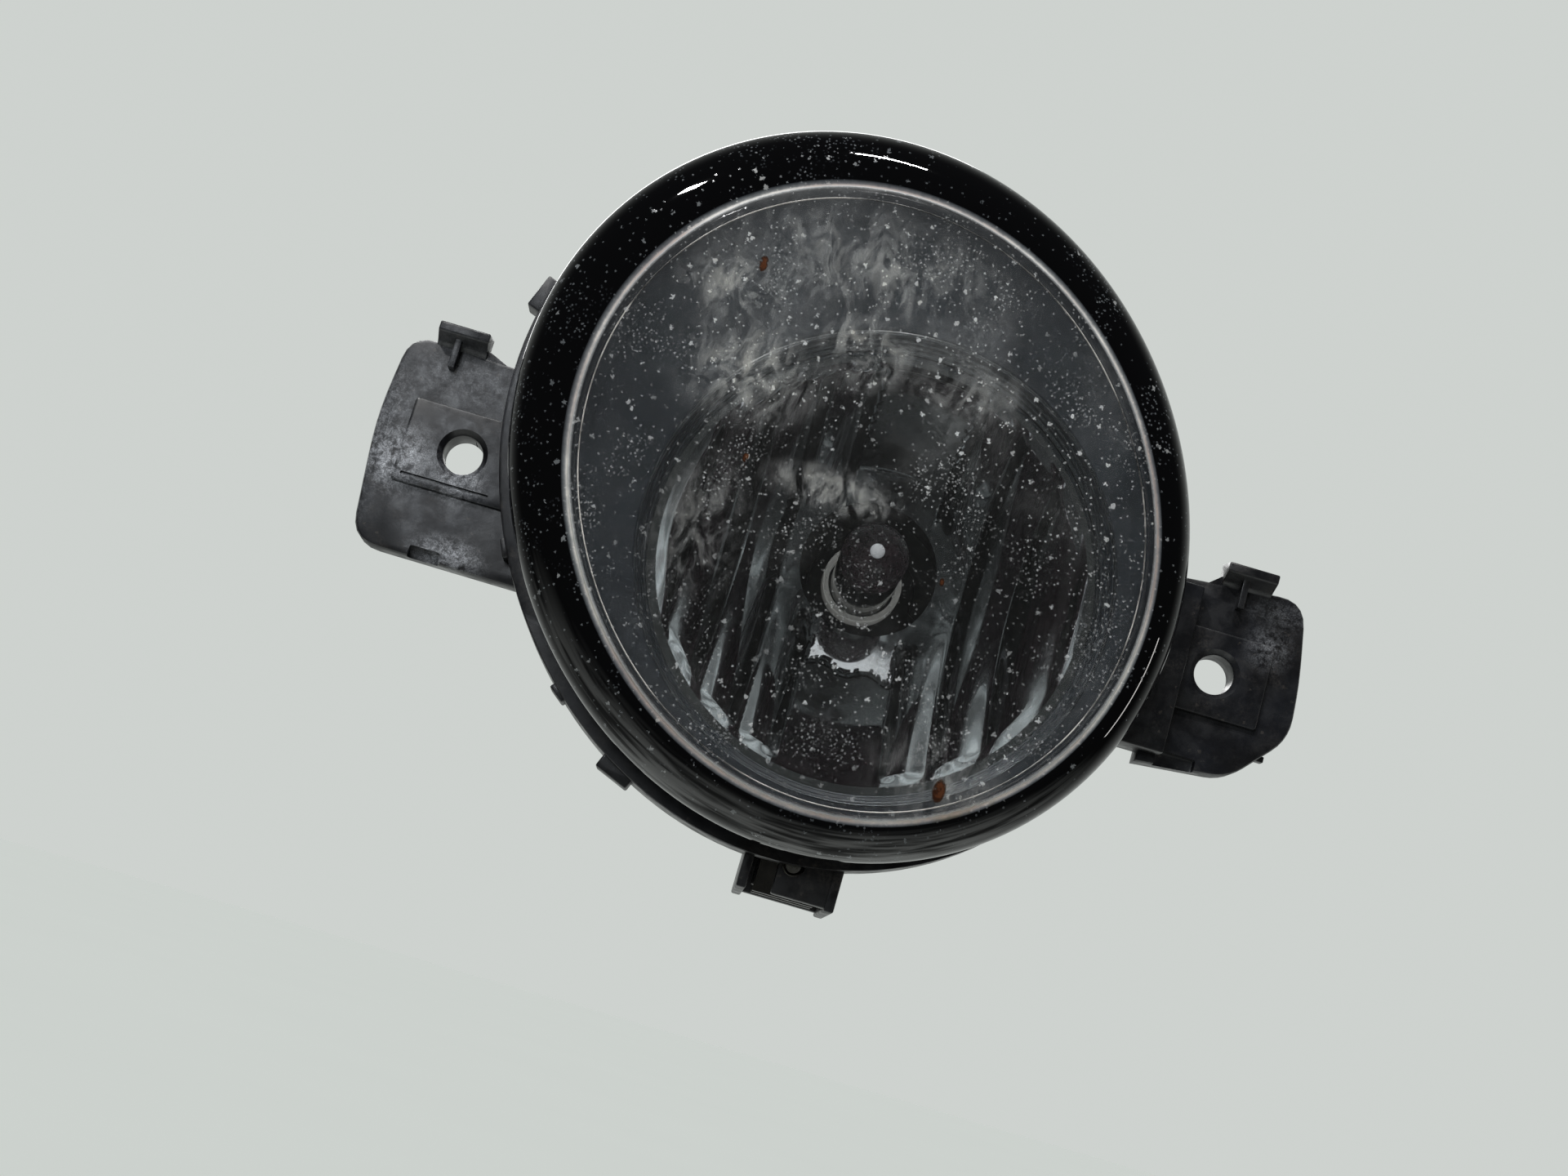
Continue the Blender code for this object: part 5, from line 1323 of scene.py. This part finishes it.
def make_housing():
    moulding = Moulding(housing_shell())
    pivot = (MOUTH[0], (pin_low.y + pin_high.y) / 2, MOUTH[1])
    for side in (-1, 1):
        moulding.join(turned(peg(5.5, BOWL_R - 1.8, BOWL_R + 1.6, 0.35), pivot, (side, 0, 0)))
        moulding.cut(turned(peg(3.8, BOWL_R - 0.9, BOWL_R + 2.2), pivot, (side, 0, 0)))
    for angle in POST_ANGLES:
        a = math.radians(angle)
        spot = (MOUTH[0] + POST_REACH * math.cos(a), 0, MOUTH[1] + POST_REACH * math.sin(a))
        moulding.join(turned(peg(3.0, TRAY_FRONT + 0.6, -11.4, 0.4), spot, sides=32))
    moulding.join(nut_fork())
    vent_y, vent_z = (vent_low.y + vent_high.y) / 2, vent_low.z
    pipe = peg(3.0, vent_z - 6.8, vent_z + 5.0, 0.2)
    moulding.join(turned(pipe, (MOUTH[0], vent_y, 0), (0, 0, 1), 36))
    for angle in range(15, 360, 30):
        # The vent pipe and the fork take the places at 75 and 255 degrees.
        if angle not in (75, 255):
            moulding.join(bowl_rib(angle))
    for angle in range(18, 360, 36):
        low, high = (NECK_R - 1.0, NECK_START + 1.0, -0.7), (NECK_R + 1.0, house_high.y - 0.6, 0.7)
        moulding.join(spoke(BULB, angle, low, high, 0.25))
    inner, outer, start, end = NECK_R - 0.6, NECK_R + 0.8, NECK_START - 0.2, NECK_START + 1.2
    band = [(inner, start, 0), (outer, start, 0.2), (outer, end, 0.2), (inner, end, 0)]
    moulding.join(turned(band, sides=96, closed=True))
    add_piece(
        "housing_moulding", moulding.mesh(), HOUSING_BLACK, "lamp_unit", ["housing"], 32
    )


make_housing()


# ---------------------------------------------------------------- bulb base

PLUG_R = 9.4
FLANGE = 15.0
SOCKET_HALF = 9.1
SOCKET_BACK = base_high.y - 2.2
SOCKET_LOW = base_low.z
LUG_ANGLES = (90, 210, 330)


def make_base():
    """The plug with its lugs and flange, and the connector socket that hangs below."""
    front, back = base_low.y, SOCKET_BACK
    flange_front, flange_back = 38.0, 40.4
    profile = [
        (0, front, 0), (PLUG_R, front, 0.3), (PLUG_R, flange_front, 0.2), (FLANGE, flange_front, 0.4),
        (FLANGE, flange_back, 0.5), (0, flange_back, 0),
    ]
    moulding = Moulding(turned(profile, sides=96))
    for angle in LUG_ANGLES:
        moulding.join(spoke(BULB, angle, (PLUG_R - 1.0, front, -3.0), (11.8, front + 2.0, 3.0), 0.25))
    outline = rounded([(-9.5, -12.0, 0.5), (9.5, -12.0, 0.5), (9.5, 9.5, 3.0), (-9.5, 9.5, 3.0)], 5)
    moulding.join(slab(outline, flange_back - 0.6, back, 0.6))
    socket_low, socket_high = (-SOCKET_HALF, back - 14.0, SOCKET_LOW), (SOCKET_HALF, back - 0.4, -11.0)
    moulding.join(block(socket_low, socket_high, 0.5, segments=3))
    for x in (-7.0, -2.4, 2.4, 7.0):
        moulding.join(block((x - 0.5, back - 1.0, -10.0), (x + 0.5, back + 0.5, 7.5), 0.15))
    for z in (-28.0, -24.5, -21.0, -17.5):
        for side in (-1, 1):
            ends = sorted((side * (SOCKET_HALF - 0.4), side * (SOCKET_HALF + 0.35)))
            moulding.join(block((ends[0], back - 12.0, z - 0.5), (ends[1], back - 2.4, z + 0.5), 0.12))
    moulding.cut(block((-6.9, back - 11.8, SOCKET_LOW - 3.0), (6.9, back - 2.6, SOCKET_LOW + 14.0), 0.4))
    moulding.join(block((-3.5, back - 1.5, -28.0), (3.5, back + 2.2, -20.0), 0.4))
    moulding.cut(block((-2.2, back + 0.6, -29.0), (2.2, back + 3.0, -25.0), 0.2))
    add_piece("bulb_base_moulding", moulding.mesh(), BASE_BLACK, "bulb", ["bulb_base"], 32)


make_base()


# ---------------------------------------------------------------- aim adjuster

SHANK_R = 2.0
THREAD_PITCH = 0.7
THREAD_DEPTH = 0.42
THREAD_START = screw_low.y + 2.9
GROOVE = (clip_low.y - 0.3, clip_high.y + 0.3)


def screw_loop(radius, y, thread=0.0):
    """A ring of the screw. Thread is how much of the thread's full depth is cut there."""
    points = []
    sides = 36
    for k, a in enumerate(around(sides)):
        phase = (y / THREAD_PITCH - k / sides) % 1.0
        r = radius - thread * (1 - abs(2 * phase - 1)) * THREAD_DEPTH
        points.append(Vector((SCREW[0] + r * math.cos(a), y, SCREW[1] + r * math.sin(a))))
    return points


def make_screw():
    """The screw with its real thread, a clip groove and a flanged head with a cross slot."""
    low, high = screw_low.y, screw_high.y
    head = frame_high.y + 0.3
    rings = [screw_loop(1.2, low), screw_loop(1.5, low + 0.3), screw_loop(1.5, THREAD_START - 0.2)]
    y = THREAD_START
    while y < GROOVE[0] - 0.1:
        fade = min(1.0, (y - THREAD_START) / 0.7, (GROOVE[0] - y) / 0.7)
        rings.append(screw_loop(SHANK_R, y, fade))
        y += THREAD_PITCH / 8
    for radius, y in (
        (SHANK_R, GROOVE[0]), (1.6, GROOVE[0]), (1.6, GROOVE[1]), (SHANK_R, GROOVE[1]), (SHANK_R, head),
        (4.3, head), (4.5, head + 0.2), (4.5, head + 1.3), (4.3, head + 1.5),
    ):
        rings.append(screw_loop(radius, y))
    moulding = Moulding(loft(rings, closed=False))
    hexagon = []
    for k in range(6):
        a = math.radians(60 * k + 30)
        hexagon.append((SCREW[0] + 3.4 * math.cos(a), SCREW[1] + 3.4 * math.sin(a), 0.25))
    moulding.join(slab(rounded(hexagon, 2), head + 1.2, high, 0.3))
    for x, z in ((2.2, 0.6), (0.6, 2.2)):
        slot_low = (SCREW[0] - x, high - 2.0, SCREW[1] - z)
        slot_high = (SCREW[0] + x, high + 0.6, SCREW[1] + z)
        moulding.cut(block(slot_low, slot_high, 0))
    add_piece(
        "adjusting_screw_threaded", moulding.mesh(), ZINC, "screw", ["adjusting_screw"], 30
    )


make_screw()


# ---------------------------------------------------------------- carried-over CAD nodes

CARRIED = (
    (TUNGSTEN, ("filament",)),
    (BRASS, ("terminal_1", "terminal_2")),
    (RUBBER, ("bulb_seal", "vent_cap")),
    (NYLON, ("pivot_bush_left", "pivot_bush_right", "adjuster_nut")),
    (ZINC, ("pivot_pin_left", "pivot_pin_right", "screw_clip")),
    (ZINC, ("reflector_screw_1", "reflector_screw_2", "reflector_screw_3")),
)
for finish, nodes in CARRIED:
    for node in nodes:
        for material_slot in frame["nodes"][node].material_slots:
            material_slot.material = finish
